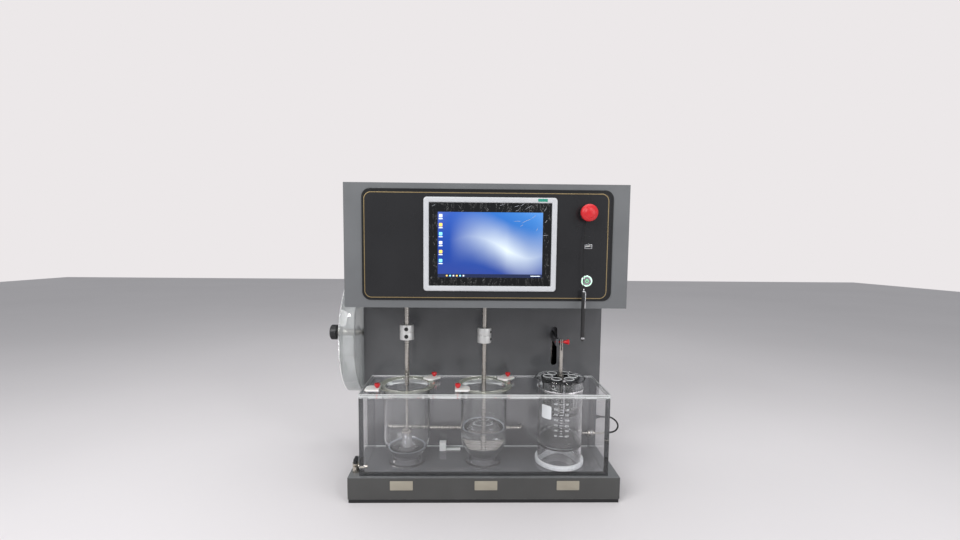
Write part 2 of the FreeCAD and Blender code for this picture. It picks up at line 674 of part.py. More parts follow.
def vessel(label, x):
    low = size.base_height + size.tank_floor + size.vessel_lift
    tall = lid_top - low + size.vessel_rim
    outer = size.vessel_radius
    inner = outer - size.vessel_wall
    under = lid_top - low
    points = [(0, 0), (outer, outer), (outer, under), (size.vessel_rim_radius, under),
              (size.vessel_rim_radius, tall), (inner, tall), (inner, outer), (0, size.vessel_wall)]
    glass = turned(points, x, station_y, low, arcs={0: (0, outer), 6: (0, outer)})
    node(glass, label)


def clips():
    lip_low = size.vessel_rim + size.seat_gap
    clip_top = lip_low + size.clip_thick
    half = size.clip_half_lip
    end = size.clip_half_foot
    corner = size.clip_corner
    outline = loop_lines([(-size.clip_lip, corner - half), (corner - size.clip_lip, -half), (end, -half),
                          (end, half), (corner - size.clip_lip, half), (-size.clip_lip, half - corner)])
    for name, x, angle, turn in (
            ("left_front", left_x, size.clip_front_angle, size.clip_left_front_turn),
            ("left_back", left_x, size.clip_back_angle, size.clip_back_turn),
            ("middle_front", ZERO, size.clip_front_angle, size.clip_middle_front_turn),
            ("middle_back", ZERO, size.clip_back_angle, size.clip_back_turn)):
        foot = block((-end, end), (-size.clip_half_foot_width, size.clip_half_foot_width),
                     (size.clip_rest_gap, lip_low))
        lip = plate([outline], size.clip_thick, z=lip_low)
        hole = rod(ZERO, ZERO, -size.overrun, size.screw_radius + size.running_gap,
                   clip_top + size.overrun * 2)
        clip = cut(fuse(foot, lip), hole)
        place(clip, *clip_place(x, angle), lid_top)
        clip.setExpression("Placement.Rotation.Angle", turn.text)
        node(clip, "vessel_clip_" + name)
    head_low = clip_top + size.clip_rest_gap
    rim_low = head_low + size.knob_taper
    screws = []
    for x, y in screw_places():
        points = [(0, -size.screw_depth), (size.screw_radius, -size.screw_depth),
                  (size.screw_radius, head_low), (size.knob_neck_radius, head_low),
                  (size.knob_radius, rim_low), (size.knob_radius, rim_low + size.knob_head),
                  (0, rim_low + size.knob_head)]
        screws.append(turned(points, x, y, lid_top))
    node(group(*screws), "clip_thumb_screws")


def stands():
    outer = size.ring_radius
    inner = outer - size.ring_wall
    rings = []
    for x in (left_x, ZERO):
        points = [(inner, 0), (size.ring_flange_radius, 0), (size.ring_flange_radius, size.ring_flange),
                  (outer, size.ring_flange), (outer, size.ring_height), (inner, size.ring_height)]
        rings.append(turned(points, x, station_y, tank_inner))
    inner = size.stand_radius - size.stand_wall
    points = [(inner, 0), (size.stand_flange_radius, 0), (size.stand_flange_radius, size.stand_flange),
              (size.stand_radius, size.stand_flange), (size.stand_radius, size.stand_height),
              (0, size.stand_height), (0, size.stand_height - size.stand_top),
              (inner, size.stand_height - size.stand_top)]
    stand = turned(points, right_x, station_y, tank_inner)
    node(group(*rings, stand), "vessel_stands")


def beaker():
    outer = size.beaker_radius
    inner = outer - size.beaker_wall
    tall = size.beaker_height
    neck = tall - size.beaker_lip_height
    lip = size.beaker_lip_radius
    points = [(0, 0), (outer, 0), (outer, neck), (lip, tall - size.beaker_lip), (lip, tall),
              (lip - size.beaker_wall, tall), (inner, neck), (inner, size.beaker_wall),
              (0, size.beaker_wall)]
    node(turned(points, right_x, station_y, beaker_low), "beaker")


def polar(radius, step, count, start=0):
    angle = 2 * math.pi * step / count + math.radians(start)
    x = right_x + radius * math.cos(angle)
    y = station_y + radius * math.sin(angle)
    return x, y


def rack():
    low = rack_top - size.rack_height
    tube_hole = size.rack_tube_radius + size.seat_gap
    inner = size.rack_tube_radius - size.rack_tube_wall
    top_low = rack_top - size.rack_plate
    bottom_high = low + size.rack_plate
    plates = [rod(right_x, station_y, height, size.rack_radius, size.rack_plate)
              for height in (low, top_low)]
    ties = []
    for step in range(3):
        x, y = polar(size.tie_ring_radius, step, 3, 30)
        ties.append(rod(x, y, low, size.tie_radius, size.rack_height + size.tie_nut))
        ties.append(rod(x, y, rack_top, size.tie_nut_radius, size.tie_nut))
    holes = [rod(right_x, station_y, low - size.overrun, size.hanger_radius + size.running_gap,
                 size.rack_height + size.overrun * 2)]
    tubes = []
    for step in range(6):
        x, y = polar(size.rack_tube_ring_radius, step, 6)
        foot = low + size.rack_ledge
        holes.append(rod(x, y, foot, tube_hole, size.rack_height + size.overrun))
        holes.append(rod(x, y, low - size.overrun, inner, size.rack_plate + size.overrun))
        height = size.rack_height - size.rack_ledge + size.rack_tube_proud
        tubes.append(cut(rod(x, y, foot, size.rack_tube_radius, height),
                         rod(x, y, foot - size.overrun, inner, height + size.overrun * 2)))
    node(cut(fuse(*plates, *ties), *holes), "rack_plates")
    node(group(*tubes), "rack_tubes")
    bar = fuse(rod(right_x, station_y, low, size.hanger_radius, hanger_top - low),
               rod(right_x, station_y, rack_top, size.hanger_collar_radius, size.hanger_collar))
    split = block(around(right_x, size.hanger_slot), around(station_y, size.hanger_radius * 3),
                  (hanger_top - size.hanger_slot_depth, hanger_top + size.overrun))
    pin = rod(right_x - size.hanger_radius - size.overrun, station_y, arm_z,
              size.pin_radius + size.running_gap, size.hanger_radius * 2 + size.overrun * 2, "X")
    node(cut(bar, split, pin), "rack_hanger")


def lift():
    spread = size.lift_rod_spread
    edge = spread + size.lift_edge
    block_y = (column_inside, lift_y + size.lift_depth / 2)
    body_z = around(arm_z, size.carriage_tall)
    screw_hole = size.lift_screw_radius + size.running_gap
    low_top = block_low + size.lift_block
    frame = []
    for low in (block_low, block_high):
        bar = block((right_x - edge, right_x + edge), block_y, (low, low + size.lift_block))
        floor = size.control_floor if low is block_low else -size.overrun
        frame.append(cut(bar, rod(right_x, lift_y, low + floor, screw_hole,
                                  size.lift_block + size.overrun * 2)))
    for side in (-1, 1):
        frame.append(rod(right_x + spread * side, lift_y, low_top, size.lift_rod_radius,
                         block_high - low_top))
    node(group(*frame), "lift_frame")
    body_y = around(lift_y, size.lift_depth)
    body = block((right_x - edge, right_x + edge), body_y, body_z)
    holes = [rod(right_x + spread * side, lift_y, body_z[0] - size.overrun,
                 size.lift_rod_radius + size.running_gap, size.carriage_tall + size.overrun * 2)
             for side in (-1, 1)]
    holes.append(rod(right_x, lift_y, body_z[0] - size.overrun, screw_hole,
                     size.carriage_tall + size.overrun * 2))
    back_x = around(right_x - size.arm_shift, size.arm_thick)
    front_x = around(right_x - size.arm_offset, size.arm_thick)
    front_y = station_y - size.arm_past
    arm = plate([loop_lines([(front_x[0], front_y), (front_x[1], front_y),
                             (back_x[1], body_y[0]), (back_x[0], body_y[0])])],
                size.arm_tall, z=arm_z - size.arm_tall / 2)
    tab = block((back_x[0], back_x[0] + size.tab_width), (body_y[0], body_y[0] + size.tab_thick),
                (body_z[0] - size.tab_drop, body_z[0]))
    holes.append(rod(front_x[0] - size.overrun, station_y, arm_z,
                     size.pin_radius + size.running_gap, size.arm_thick + size.overrun * 2, "X"))
    node(cut(fuse(body, arm, tab), *holes), "lift_carriage")
    low = block_low + size.control_floor + size.seat_gap
    high = block_high + size.lift_block + size.motor_bore_depth - size.loose_gap
    node(rod(right_x, lift_y, low, size.lift_screw_radius, high - low), "lift_screw")
    knob_low = right_x + size.hanger_radius + size.pin_neck
    shank = front_x[0] - knob_low
    rim = size.pin_knob_length
    points = [(0, shank), (size.pin_radius, shank), (size.pin_radius, 0), (size.knob_neck_radius, 0),
              (size.knob_radius, rim), (size.knob_radius, rim + size.pin_knob_rim),
              (0, rim + size.pin_knob_rim)]
    node(turned(points, knob_low, station_y, arm_z, "X"), "lift_thumb_screw")


def motors():
    floor = head_bottom + size.case_sheet
    half = size.motor_size
    stirrer = cut(block(around(motor_x, half), around(motor_y, half),
                        (floor, floor + size.motor_tall)),
                  rod(motor_x, motor_y, floor + size.motor_tall - size.motor_bore_depth,
                      size.motor_pulley_bore + size.running_gap, size.motor_bore_depth + size.overrun))
    low = block_high + size.lift_block
    lifter = cut(block(around(right_x, half), around(lift_y, half),
                       (low, low + size.lift_motor_tall)),
                 rod(right_x, lift_y, low - size.overrun, size.lift_screw_radius + size.running_gap,
                     size.motor_bore_depth + size.overrun))
    node(group(stirrer, lifter), "stepper_motors")
    inner = -column_half + size.case_sheet
    boss = inner - size.case_sheet - size.gear_boss_reach
    gear = fuse(rod(inner, size.drum_y, size.drum_z, size.gear_motor_radius,
                    size.gear_motor_length, "X"),
                rod(boss, size.drum_y, size.drum_z, size.gear_boss_radius, inner - boss, "X"))
    bore = rod(boss - size.overrun, size.drum_y, size.drum_z, size.drum_axle_radius + size.running_gap,
               size.gear_bore + size.overrun, "X")
    node(cut(gear, bore), "friability_motor")


def pulley_points(shaft, radius, low, high):
    """Half section of a shaft from low to high that carries a flanged pulley."""
    foot = pulley_low
    edge = radius + size.pulley_flange
    thin = size.pulley_flange_thick
    groove = foot + thin + size.pulley_width
    return [(0, low), (shaft, low), (shaft, foot), (edge, foot), (edge, foot + thin),
            (radius, foot + thin), (radius, groove), (edge, groove), (edge, groove + thin),
            (shaft, groove + thin), (shaft, high), (0, high)]


def spindles():
    floor = head_bottom + size.case_sheet
    bearings = []
    for x in (left_x, ZERO):
        rise = size.flange_thick
        points = [(shaft_bore, -size.case_sheet), (size.boss_radius, -size.case_sheet),
                  (size.boss_radius, 0), (size.flange_radius, 0), (size.flange_radius, rise),
                  (size.hub_radius, rise), (size.hub_radius, size.hub_height),
                  (shaft_bore, size.hub_height)]
        bearings.append(turned(points, x, station_y, floor))
    node(group(*bearings), "spindle_bearings")
    for name, x, low in (("basket", left_x, left_coupling_low),
                         ("paddle", ZERO, middle_coupling_low)):
        half = size.coupling_tall / 2
        upper_low = low + half + size.shaft_gap / 2
        node(turned(pulley_points(size.spindle_radius, size.pulley_radius, upper_low, spindle_top),
                    x, station_y), name + "_spindle")
        outer = size.coupling_radius
        waist = outer - size.coupling_cut
        groove = size.coupling_groove / 2
        points = [(shaft_bore, 0), (outer, 0), (outer, half - groove), (waist, half - groove),
                  (waist, half + groove), (outer, half + groove), (outer, half * 2),
                  (shaft_bore, half * 2)]
        node(turned(points, x, station_y, low), name + "_coupling")
    disc_low = size.basket_bottom + size.basket_tall
    disc_high = disc_low + size.basket_disc
    top = left_coupling_low + size.coupling_tall / 2 - size.shaft_gap / 2
    shaft = size.spindle_radius
    points = [(0, disc_low), (size.basket_disc_radius, disc_low), (size.basket_disc_radius, disc_high),
              (size.shaft_thin_radius, disc_high), (size.shaft_thin_radius, size.shaft_step_height),
              (shaft, size.shaft_step_height), (shaft, top), (0, top)]
    node(turned(points, left_x, station_y), "basket_shaft")
    outer = size.basket_radius
    inner = outer - size.basket_wall
    points = [(0, 0), (outer, 0), (outer, size.basket_tall), (inner, size.basket_tall),
              (inner, size.basket_wall), (0, size.basket_wall)]
    node(turned(points, left_x, station_y, size.basket_bottom), "dissolution_basket")
    top = middle_coupling_low + size.coupling_tall / 2 - size.shaft_gap / 2
    wide = size.paddle_half_top
    foot = size.paddle_half_foot
    tall = size.paddle_tall
    centre = (0, (wide * wide - foot * foot + tall * tall) / (tall * 2))
    blade = plate([loop_lines([(-foot, 0), (foot, 0), (wide, tall), (-wide, tall)],
                              {1: centre, 3: centre})],
                  size.paddle_thick, y=station_y + size.paddle_thick / 2, z=size.paddle_bottom,
                  role="XZ_Plane")
    bar = rod(ZERO, station_y, size.paddle_bottom, shaft, top - size.paddle_bottom)
    node(fuse(bar, blade), "paddle_shaft")
    low = head_bottom + size.case_sheet + size.motor_tall - size.motor_bore_depth + size.seat_gap
    points = pulley_points(size.motor_pulley_bore, size.motor_pulley_radius, low, spindle_top)
    node(turned(points, motor_x, motor_y), "motor_pulley")


def tangent_loop(circles, height, wide):
    """A band round circles that are listed clockwise seen from above, as a solid."""
    edges = []
    touches = []
    for (first, radius), (second, other) in zip(circles, circles[1:] + circles[:1]):
        line = second - first
        lean = math.asin((radius - other) / line.Length)
        heading = math.atan2(line.y, line.x) + math.pi / 2 - lean
        normal = point(math.cos(heading), math.sin(heading), 0)
        touches.append((first + normal * radius, second + normal * other, heading))
    for index, (start, end, heading) in enumerate(touches):
        before = touches[index - 1]
        centre, radius = circles[index]
        middle = (heading + before[2]) / 2
        if math.cos(middle - heading) < 0:
            middle += math.pi
        crown = centre + point(math.cos(middle), math.sin(middle), 0) * radius
        edges.append(Part.Arc(before[1], crown, start).toShape())
        edges.append(Part.LineSegment(start, end).toShape())
    face = Part.Face(Part.Wire(edges))
    face.translate(point(0, 0, height))
    return face.extrude(point(0, 0, wide))


def belt():
    centres = [(point(left_x.value, station_y.value, 0), size.pulley_radius.value),
               (point(motor_x.value, motor_y.value, 0), size.motor_pulley_radius.value),
               (point(0, station_y.value, 0), size.pulley_radius.value)]
    groove = pulley_low + size.pulley_flange_thick
    low = groove + (size.pulley_width - size.belt_width) / 2
    inner = [(centre, radius + size.belt_gap.value) for centre, radius in centres]
    outer = [(centre, radius + size.belt_thick.value) for centre, radius in inner]
    band = tangent_loop(outer, low.value, size.belt_width.value)
    node(drawn(band.cut(tangent_loop(inner, low.value, size.belt_width.value))), "timing_belt")


def heater():
    """A tube along the tank's back wall, both ends out through the wall."""
    out = column_inside.value + size.overrun.value
    y = heater_y.value
    left = size.heater_left.value
    right = size.heater_right.value
    rise = size.heater_rise.value
    points = [point(left, out, rise), point(left, y, rise), point(right, y, rise),
              point(right, out, rise)]
    node(drawn(tube(points, 2 * size.heater_radius.value, size.heater_bend.value)), "heater_tube")


def circulation():
    low = tank_inner
    post = block(around(size.nozzle_x, size.nozzle_size), around(nozzle_y, size.nozzle_size),
                 (low, low + size.nozzle_tall))
    bar = block((size.nozzle_x, size.nozzle_x + size.nozzle_bar), around(nozzle_y, size.nozzle_bar_width),
                (low, low + size.nozzle_bar_tall))
    spigot = rod(size.nozzle_x, nozzle_y, low - size.spigot_depth, size.spigot_radius,
                 size.spigot_depth + size.nozzle_bar_tall)
    node(fuse(post, bar, spigot), "circulation_nozzle")
    pump = block(around(size.nozzle_x, size.pump_width), around(nozzle_y, size.pump_depth),
                 (size.plinth_floor, size.plinth_floor + size.pump_height))
    bore_low = low - size.spigot_depth - size.seat_gap
    bore = rod(size.nozzle_x, nozzle_y, bore_low, size.spigot_radius + size.running_gap, size.spigot_depth)
    node(cut(pump, bore), "circulation_pump")


def probe():
    wall_in = tank_half - size.tank_wall
    neck = size.gland_neck_radius
    nut = size.gland_radius
    thin = size.probe_radius
    points = [(0, size.probe_inner), (thin, size.probe_inner), (thin, wall_in - size.gland_inner),
              (nut, wall_in - size.gland_inner), (nut, wall_in), (neck, wall_in),
              (neck, tank_half), (nut, tank_half), (nut, tank_half + size.gland_outer),
              (thin, tank_half + size.gland_outer), (thin, size.probe_outer), (0, size.probe_outer)]
    node(turned(points, ZERO, probe_y, size.probe_height, "X"), "temperature_probe")
    wall = column_half - size.case_sheet
    inner = wall - size.relief_flange
    outer = column_half + size.relief_flange
    points = [(0, inner), (size.relief_radius, inner), (size.relief_radius, wall),
              (size.relief_neck_radius, wall), (size.relief_neck_radius, column_half),
              (size.relief_radius, column_half), (size.relief_radius, outer),
              (size.relief_end_radius, column_half + size.relief_reach),
              (0, column_half + size.relief_reach)]
    node(turned(points, ZERO, relief_y, relief_z, "X"), "cable_grommet")
    route = route_from((size.probe_outer, probe_y, size.probe_height), CABLE_ROUTE)
    node(drawn(tube(route, size.cable_diameter.value)), "probe_cable")


def drain():
    low = size.base_height
    axis_z = low + size.valve_axis
    inner = tank_half - size.tank_wall
    body = rod(size.valve_x, size.valve_y, low, size.valve_radius, size.valve_tall)
    nipple = rod(size.valve_x, size.valve_y, axis_z, size.valve_pipe_radius,
                 -inner - size.valve_x + size.valve_nipple, "X")
    outlet = rod(size.valve_x, size.valve_y - size.valve_outlet, axis_z, size.valve_pipe_radius,
                 size.valve_outlet, "Y")
    socket = rod(size.valve_x, size.valve_y, axis_z + size.valve_pipe_radius,
                 size.lever_radius + size.running_gap, size.valve_tall)
    node(cut(fuse(body, nipple, outlet), socket), "drain_valve")
    stem_low = axis_z + size.valve_pipe_radius + size.seat_gap
    grip_low = low + size.valve_tall + size.loose_gap
    stem = rod(size.valve_x, size.valve_y, stem_low, size.lever_radius, grip_low - stem_low)
    grip = block((size.valve_x - size.lever_width / 2, size.valve_x + size.lever_width / 2),
                 (size.valve_y - size.lever_length / 2, size.valve_y + size.lever_length / 2),
                 (grip_low, grip_low + size.lever_stem))
    node(fuse(stem, grip), "drain_lever")


def drum():
    at = {"y": size.drum_y, "z": size.drum_z, "axis": "X"}
    outer = size.drum_radius
    inner = outer - size.drum_wall
    hub = size.drum_hub_radius + size.running_gap
    face = drum_outer + size.drum_wall
    floor = drum_inner - size.drum_wall
    cup = turned([(hub, drum_inner), (outer, drum_inner), (outer, face), (inner, face),
                  (inner, floor), (hub, floor)], **at)
    deep = floor - face
    bend = size.vane_radius
    thick = size.vane_thick / 2
    ring = cut(rod(face, size.drum_y + bend, size.drum_z, bend + thick, deep, "X"),
               rod(face - size.overrun, size.drum_y + bend, size.drum_z, bend - thick,
                   deep + size.overrun * 2, "X"))
    quarter = block((face, floor), (size.drum_y, size.drum_y + bend * 3),
                    (size.drum_z - bend * 3, size.drum_z))
    inside = cut(rod(face, size.drum_y, size.drum_z, inner + size.drum_wall / 2, deep, "X"),
                 rod(face - size.overrun, size.drum_y, size.drum_z, size.drum_collar_radius + size.drum_wall,
                     deep + size.overrun * 2, "X"))
    vane = common(common(ring, quarter), inside)
    node(fuse(cup, vane), "drum_shell")
    node(turned([(hub, drum_outer), (outer, drum_outer), (outer, face), (hub, face)], **at),
         "drum_cover")
    axle_end = -column_half - size.gear_boss_reach + size.gear_bore - size.seat_gap
    boss_face = -column_half - size.gear_boss_reach - size.loose_gap
    hub = size.drum_hub_radius
    collar = size.drum_collar_radius
    end = drum_outer - size.drum_hub_reach
    stud = size.drum_stud_radius
    points = [(0, axle_end), (size.drum_axle_radius, axle_end), (size.drum_axle_radius, boss_face),
              (hub, boss_face), (hub, floor), (collar, floor), (collar, floor - size.drum_collar),
              (hub, floor - size.drum_collar), (hub, drum_outer), (collar, drum_outer),
              (collar, drum_outer - size.drum_collar), (hub, drum_outer - size.drum_collar),
              (hub, end), (stud, end), (stud, end - size.drum_stud), (0, end - size.drum_stud)]
    node(turned(points, **at), "drum_shaft")
    low = end - size.seat_gap
    far = low - size.drum_knob_length
    bore = stud + size.running_gap
    bevel = size.drum_knob_bevel
    wide = size.drum_knob_radius
    points = [(bore, low), (size.drum_knob_waist_radius, low), (wide, low - bevel),
              (wide, far + bevel), (wide - bevel, far), (0, far), (0, far + bevel),
              (bore, far + bevel)]
    node(turned(points, **at), "drum_knob")


def stylus():
    y = panel_face - size.stylus_gap
    tip = size.stylus_tip
    thin = size.stylus_tip_radius
    ring = size.stylus_ring_radius
    top = size.stylus_length
    wide = size.stylus_radius
    ring_top = tip + size.stylus_ring
    shoulder = top - size.stylus_eye
    points = [(0, 0), (thin, thin), (thin, tip), (ring, tip), (ring, ring_top),
              (wide, ring_top), (wide, shoulder - size.stylus_cap), (size.stylus_eye_radius, shoulder),
              (size.stylus_eye_radius, top - size.stylus_eye_radius), (0, top)]
    low = stylus_top - top
    barrel = turned(points, stylus_x, y, low,
                    arcs={0: (0, thin), 8: (0, top - size.stylus_eye_radius)})
    clip_top = stylus_top - size.stylus_eye - size.stylus_cap
    clip = block(around(stylus_x + size.pen_clip_shift, size.pen_clip_width),
                 (y - wide - size.pen_clip_reach, y),
                 (clip_top - size.pen_clip_length, clip_top))
    node(fuse(barrel, clip), "stylus")
    route = route_from((size.control_x, panel_face, stop_z), TETHER_ROUTE)
    node(drawn(tube(route, size.tether_diameter.value)), "stylus_tether")


def electrics():
    supply = block(around(ZERO, size.supply_width),
                   (size.supply_front, size.supply_front + size.supply_depth),
                   (size.base_height, size.base_height + size.supply_height))
    board_y = cover_face - size.board_standoff
    board_x = around(ZERO, size.board_width)
    board_z = (board_low, board_low + size.board_height)
    pieces = [block(board_x, (board_y - size.board_thick, board_y), board_z)]
    for x in (board_x[0] + size.standoff_inset, board_x[1] - size.standoff_inset):
        for z in (board_z[0] + size.standoff_inset, board_z[1] - size.standoff_inset):
            pieces.append(rod(x, board_y, z, size.standoff_radius, size.board_standoff, "Y"))
    for share in CHIP_PLACE_SHARES:
        chip = size.board_height / 4
        pieces.append(block(around(size.board_width * share, chip),
                            (board_y - size.board_thick - size.chip_height, board_y - size.board_thick),
                            around(board_low + size.board_height / 2, chip)))
    node(group(supply, fuse(*pieces)), "electronics")
    flange = block(around(size.inlet_x, size.inlet_flange_width), (back, back + size.inlet_flange),
                   around(size.inlet_z, size.inlet_flange_height))
    body = block(around(size.inlet_x, size.inlet_width), (back - size.inlet_depth, back),
                 around(size.inlet_z, size.inlet_height))
    face = back + size.inlet_flange
    mouth = block(around(size.inlet_x, size.inlet_mouth_width),
                  (face - size.inlet_mouth_depth, face + size.overrun),
                  around(size.inlet_z, size.inlet_mouth_height))
    floor = face - size.inlet_mouth_depth
    pins = [block(around(size.inlet_x + size.inlet_pin_spread * side, size.inlet_pin_width),
                  (floor, floor + size.inlet_pin_length), around(size.inlet_z, size.inlet_pin_height))
            for side in (-1, 0, 1)]
    node(fuse(cut(fuse(flange, body), mouth), *pins), "mains_inlet")


base()
column()
rear_cover()
head()
panel()
usb_socket()
stop_button()
power_button()
bath()
vessel("vessel_left", left_x)
vessel("vessel_middle", ZERO)
clips()
stands()
beaker()
rack()
lift()
motors()
spindles()
belt()
heater()
circulation()
probe()
drain()
drum()
stylus()
electrics()

doc.recompute()
faults = [thing.Name for thing in doc.Objects
          if "Invalid" in thing.State or "Error" in thing.State]
for thing in nodes:
    shape = thing.Shape
    if shape.isNull() or not shape.isValid() or not shape.Solids:
        faults.append(thing.Label)
if faults:
    raise RuntimeError("failed: " + ", ".join(faults))
os.makedirs("parts", exist_ok=True)
for thing in nodes:
    thing.Shape.exportStep("parts/%s.step" % thing.Label)
    box = thing.Shape.BoundBox
    print("%-24s %2d solids  x %7.1f %7.1f  y %7.1f %7.1f  z %6.1f %6.1f" % (
        thing.Label, len(thing.Shape.Solids), box.XMin, box.XMax, box.YMin, box.YMax,
        box.ZMin, box.ZMax))
print(len(nodes), "nodes")
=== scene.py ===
"""Looks of the bench tablet tester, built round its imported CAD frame. Metres, row frame."""
import bmesh
import bpy
import math
from mathutils import Matrix, Vector


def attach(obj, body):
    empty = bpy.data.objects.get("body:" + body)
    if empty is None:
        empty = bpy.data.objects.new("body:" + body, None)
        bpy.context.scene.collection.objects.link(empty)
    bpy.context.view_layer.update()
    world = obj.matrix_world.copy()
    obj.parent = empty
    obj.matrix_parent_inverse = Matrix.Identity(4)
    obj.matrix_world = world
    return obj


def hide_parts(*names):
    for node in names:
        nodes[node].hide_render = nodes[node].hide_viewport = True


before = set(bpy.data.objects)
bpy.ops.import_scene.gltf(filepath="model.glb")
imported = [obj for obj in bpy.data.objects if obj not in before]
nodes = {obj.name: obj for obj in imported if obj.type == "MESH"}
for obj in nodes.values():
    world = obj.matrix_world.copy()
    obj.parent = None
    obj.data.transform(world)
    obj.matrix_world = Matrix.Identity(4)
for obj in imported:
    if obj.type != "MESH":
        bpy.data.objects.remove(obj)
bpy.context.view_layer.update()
scene = bpy.context.scene
scene.view_settings.view_transform = "Standard"

MM = 0.001
TINY = 1e-6

# Places in millimetres.
LEFT, MIDDLE, RIGHT = -178.0, 0.0, 178.0
STATION_Y = -106.0
TANK_FLOOR = 64.7
VESSEL_LOW = 72
BEAKER_LOW = 112
TUBES_LOW = 186
LID_TOP = 242.7
PANEL_FACE = -182
USB_PLACE = (213.5, PANEL_FACE, 565.5)
POWER_PLACE = (212, PANEL_FACE, 493)
STYLUS_PLACE = (202.6, -198, 366.4)
DRUM_Y, DRUM_Z = 65, 335
DRUM_PLACE = (-341, DRUM_Y, DRUM_Z)
CLIP_DISTANCE = 76
CLIP_ANGLES = {"front": 218, "back": 38}

# Sizes in millimetres.
VESSEL_RADIUS, VESSEL_BORE = 53, 50.5
WATER_RADIUS = 50.75
BEAKER_PRINT_RADIUS = 52.08
SCALE_PITCH, SCALE_LOW = 12.1, 31.7
TUBE_CIRCLE = 29
COUPLING_SIDE = 16.3

TURNED_STEPS = 96
DRUM_STEPS = 160
SHARP_ANGLE = 38
FINE_RELIEF = 0.0002

# The fitted camera, in pixels of the photograph.
PHOTO_WIDTH = 960
FOCAL_LENGTH = 458.41
SENSOR_WIDTH = 36.0


def aim_camera():
    """The photograph's camera: a 17 mm lens just left of the middle, looking a little down."""
    camera = bpy.data.objects.new("camera", bpy.data.cameras.new("camera"))
    scene.collection.objects.link(camera)
    scene.camera = camera
    pitch, yaw, roll = math.radians(4.71), math.radians(1.07), math.radians(0.47)
    turn = (Matrix.Rotation(-yaw, 4, "Z") @ Matrix.Rotation(math.pi / 2 - pitch, 4, "X")
            @ Matrix.Rotation(roll, 4, "Z"))
    camera.matrix_world = Matrix.Translation((-0.04778, -1.14768, 0.56018)) @ turn
    camera.data.sensor_width = SENSOR_WIDTH
    camera.data.lens = SENSOR_WIDTH * FOCAL_LENGTH / PHOTO_WIDTH
    camera.data.shift_x = 7.51 / PHOTO_WIDTH
    camera.data.shift_y = 16.04 / PHOTO_WIDTH
    camera.data.clip_start = 0.05
    camera.data.clip_end = 60.0


aim_camera()


def linear(red, green, blue):
    """A colour from its 0 to 255 screen values."""
    parts = []
    for part in (red, green, blue):
        part = part / 255
        parts.append(part / 12.92 if part <= 0.04045 else ((part + 0.055) / 1.055) ** 2.4)
    return (*parts, 1.0)


def add(tree, kind, links=(), **values):
    """A node; capitalised names are its inputs' plain values, the others its settings."""
    node = tree.nodes.new(kind)
    for name, value in values.items():
        if name[0].isupper():
            node.inputs[name.replace("_", " ")].default_value = value
        else:
            setattr(node, name, value)
    for name, socket in links:
        tree.links.new(node.inputs[name], socket)
    return node


def maths(tree, operation, first, second=None, clamp=False):
    node = tree.nodes.new("ShaderNodeMath")
    node.operation = operation
    node.use_clamp = clamp
    for index, value in enumerate((first, second)):
        if value is None:
            continue
        if isinstance(value, (int, float)):
            node.inputs[index].default_value = value
        else:
            tree.links.new(node.inputs[index], value)
    return node.outputs[0]


def spread(tree, value, low, high, start=0.0, end=1.0):
    """Maps start..end to low..high."""
    node = tree.nodes.new("ShaderNodeMapRange")
    for name, number in (("From Min", start), ("From Max", end), ("To Min", low), ("To Max", high)):
        node.inputs[name].default_value = number
    tree.links.new(node.inputs["Value"], value)
    return node.outputs["Result"]


def blended(tree, factor, first, second):
    """A colour mix; each side is a colour or a socket."""
    node = tree.nodes.new("ShaderNodeMix")
    node.data_type = "RGBA"
    tree.links.new(node.inputs[0], factor)
    for index, side in ((6, first), (7, second)):
        if isinstance(side, tuple):
            node.inputs[index].default_value = side
        else:
            tree.links.new(node.inputs[index], side)
    return node.outputs[2]


def shader_group(name, inputs, outputs):
    tree = bpy.data.node_groups.new(name, "ShaderNodeTree")
    for label, kind, value in inputs:
        socket = tree.interface.new_socket(label, in_out="INPUT", socket_type=kind)
        socket.default_value = value
    for label, kind in outputs:
        tree.interface.new_socket(label, in_out="OUTPUT", socket_type=kind)
    return tree, tree.nodes.new("NodeGroupInput"), tree.nodes.new("NodeGroupOutput")


FLOAT, VECTOR = "NodeSocketFloat", "NodeSocketVector"


def grain_group():
    """Fine unevenness of paint, plastic or metal, stretched where the finish runs one way."""
    tree, given, out = shader_group(
        "Surface grain", [("Stretch", VECTOR, (1, 1, 1)), ("Scale", FLOAT, 300.0),
                          ("Broad Scale", FLOAT, 12.0)],
        [("Grain", FLOAT), ("Broad", FLOAT)])
    place = add(tree, "ShaderNodeTexCoord").outputs["Object"]
    run = add(tree, "ShaderNodeMapping", [("Vector", place), ("Scale", given.outputs["Stretch"])])
    fine = add(tree, "ShaderNodeTexNoise", [("Vector", run.outputs[0]), ("Scale", given.outputs["Scale"])],
               Detail=4.0, Roughness=0.6)
    broad = add(tree, "ShaderNodeTexNoise", [("Vector", place), ("Scale", given.outputs["Broad Scale"])],
                Detail=3.0, Roughness=0.5)
    tree.links.new(out.inputs["Grain"], fine.outputs["Fac"])
    tree.links.new(out.inputs["Broad"], spread(tree, broad.outputs["Fac"], 0, 1, 0.3, 0.7))
    return tree


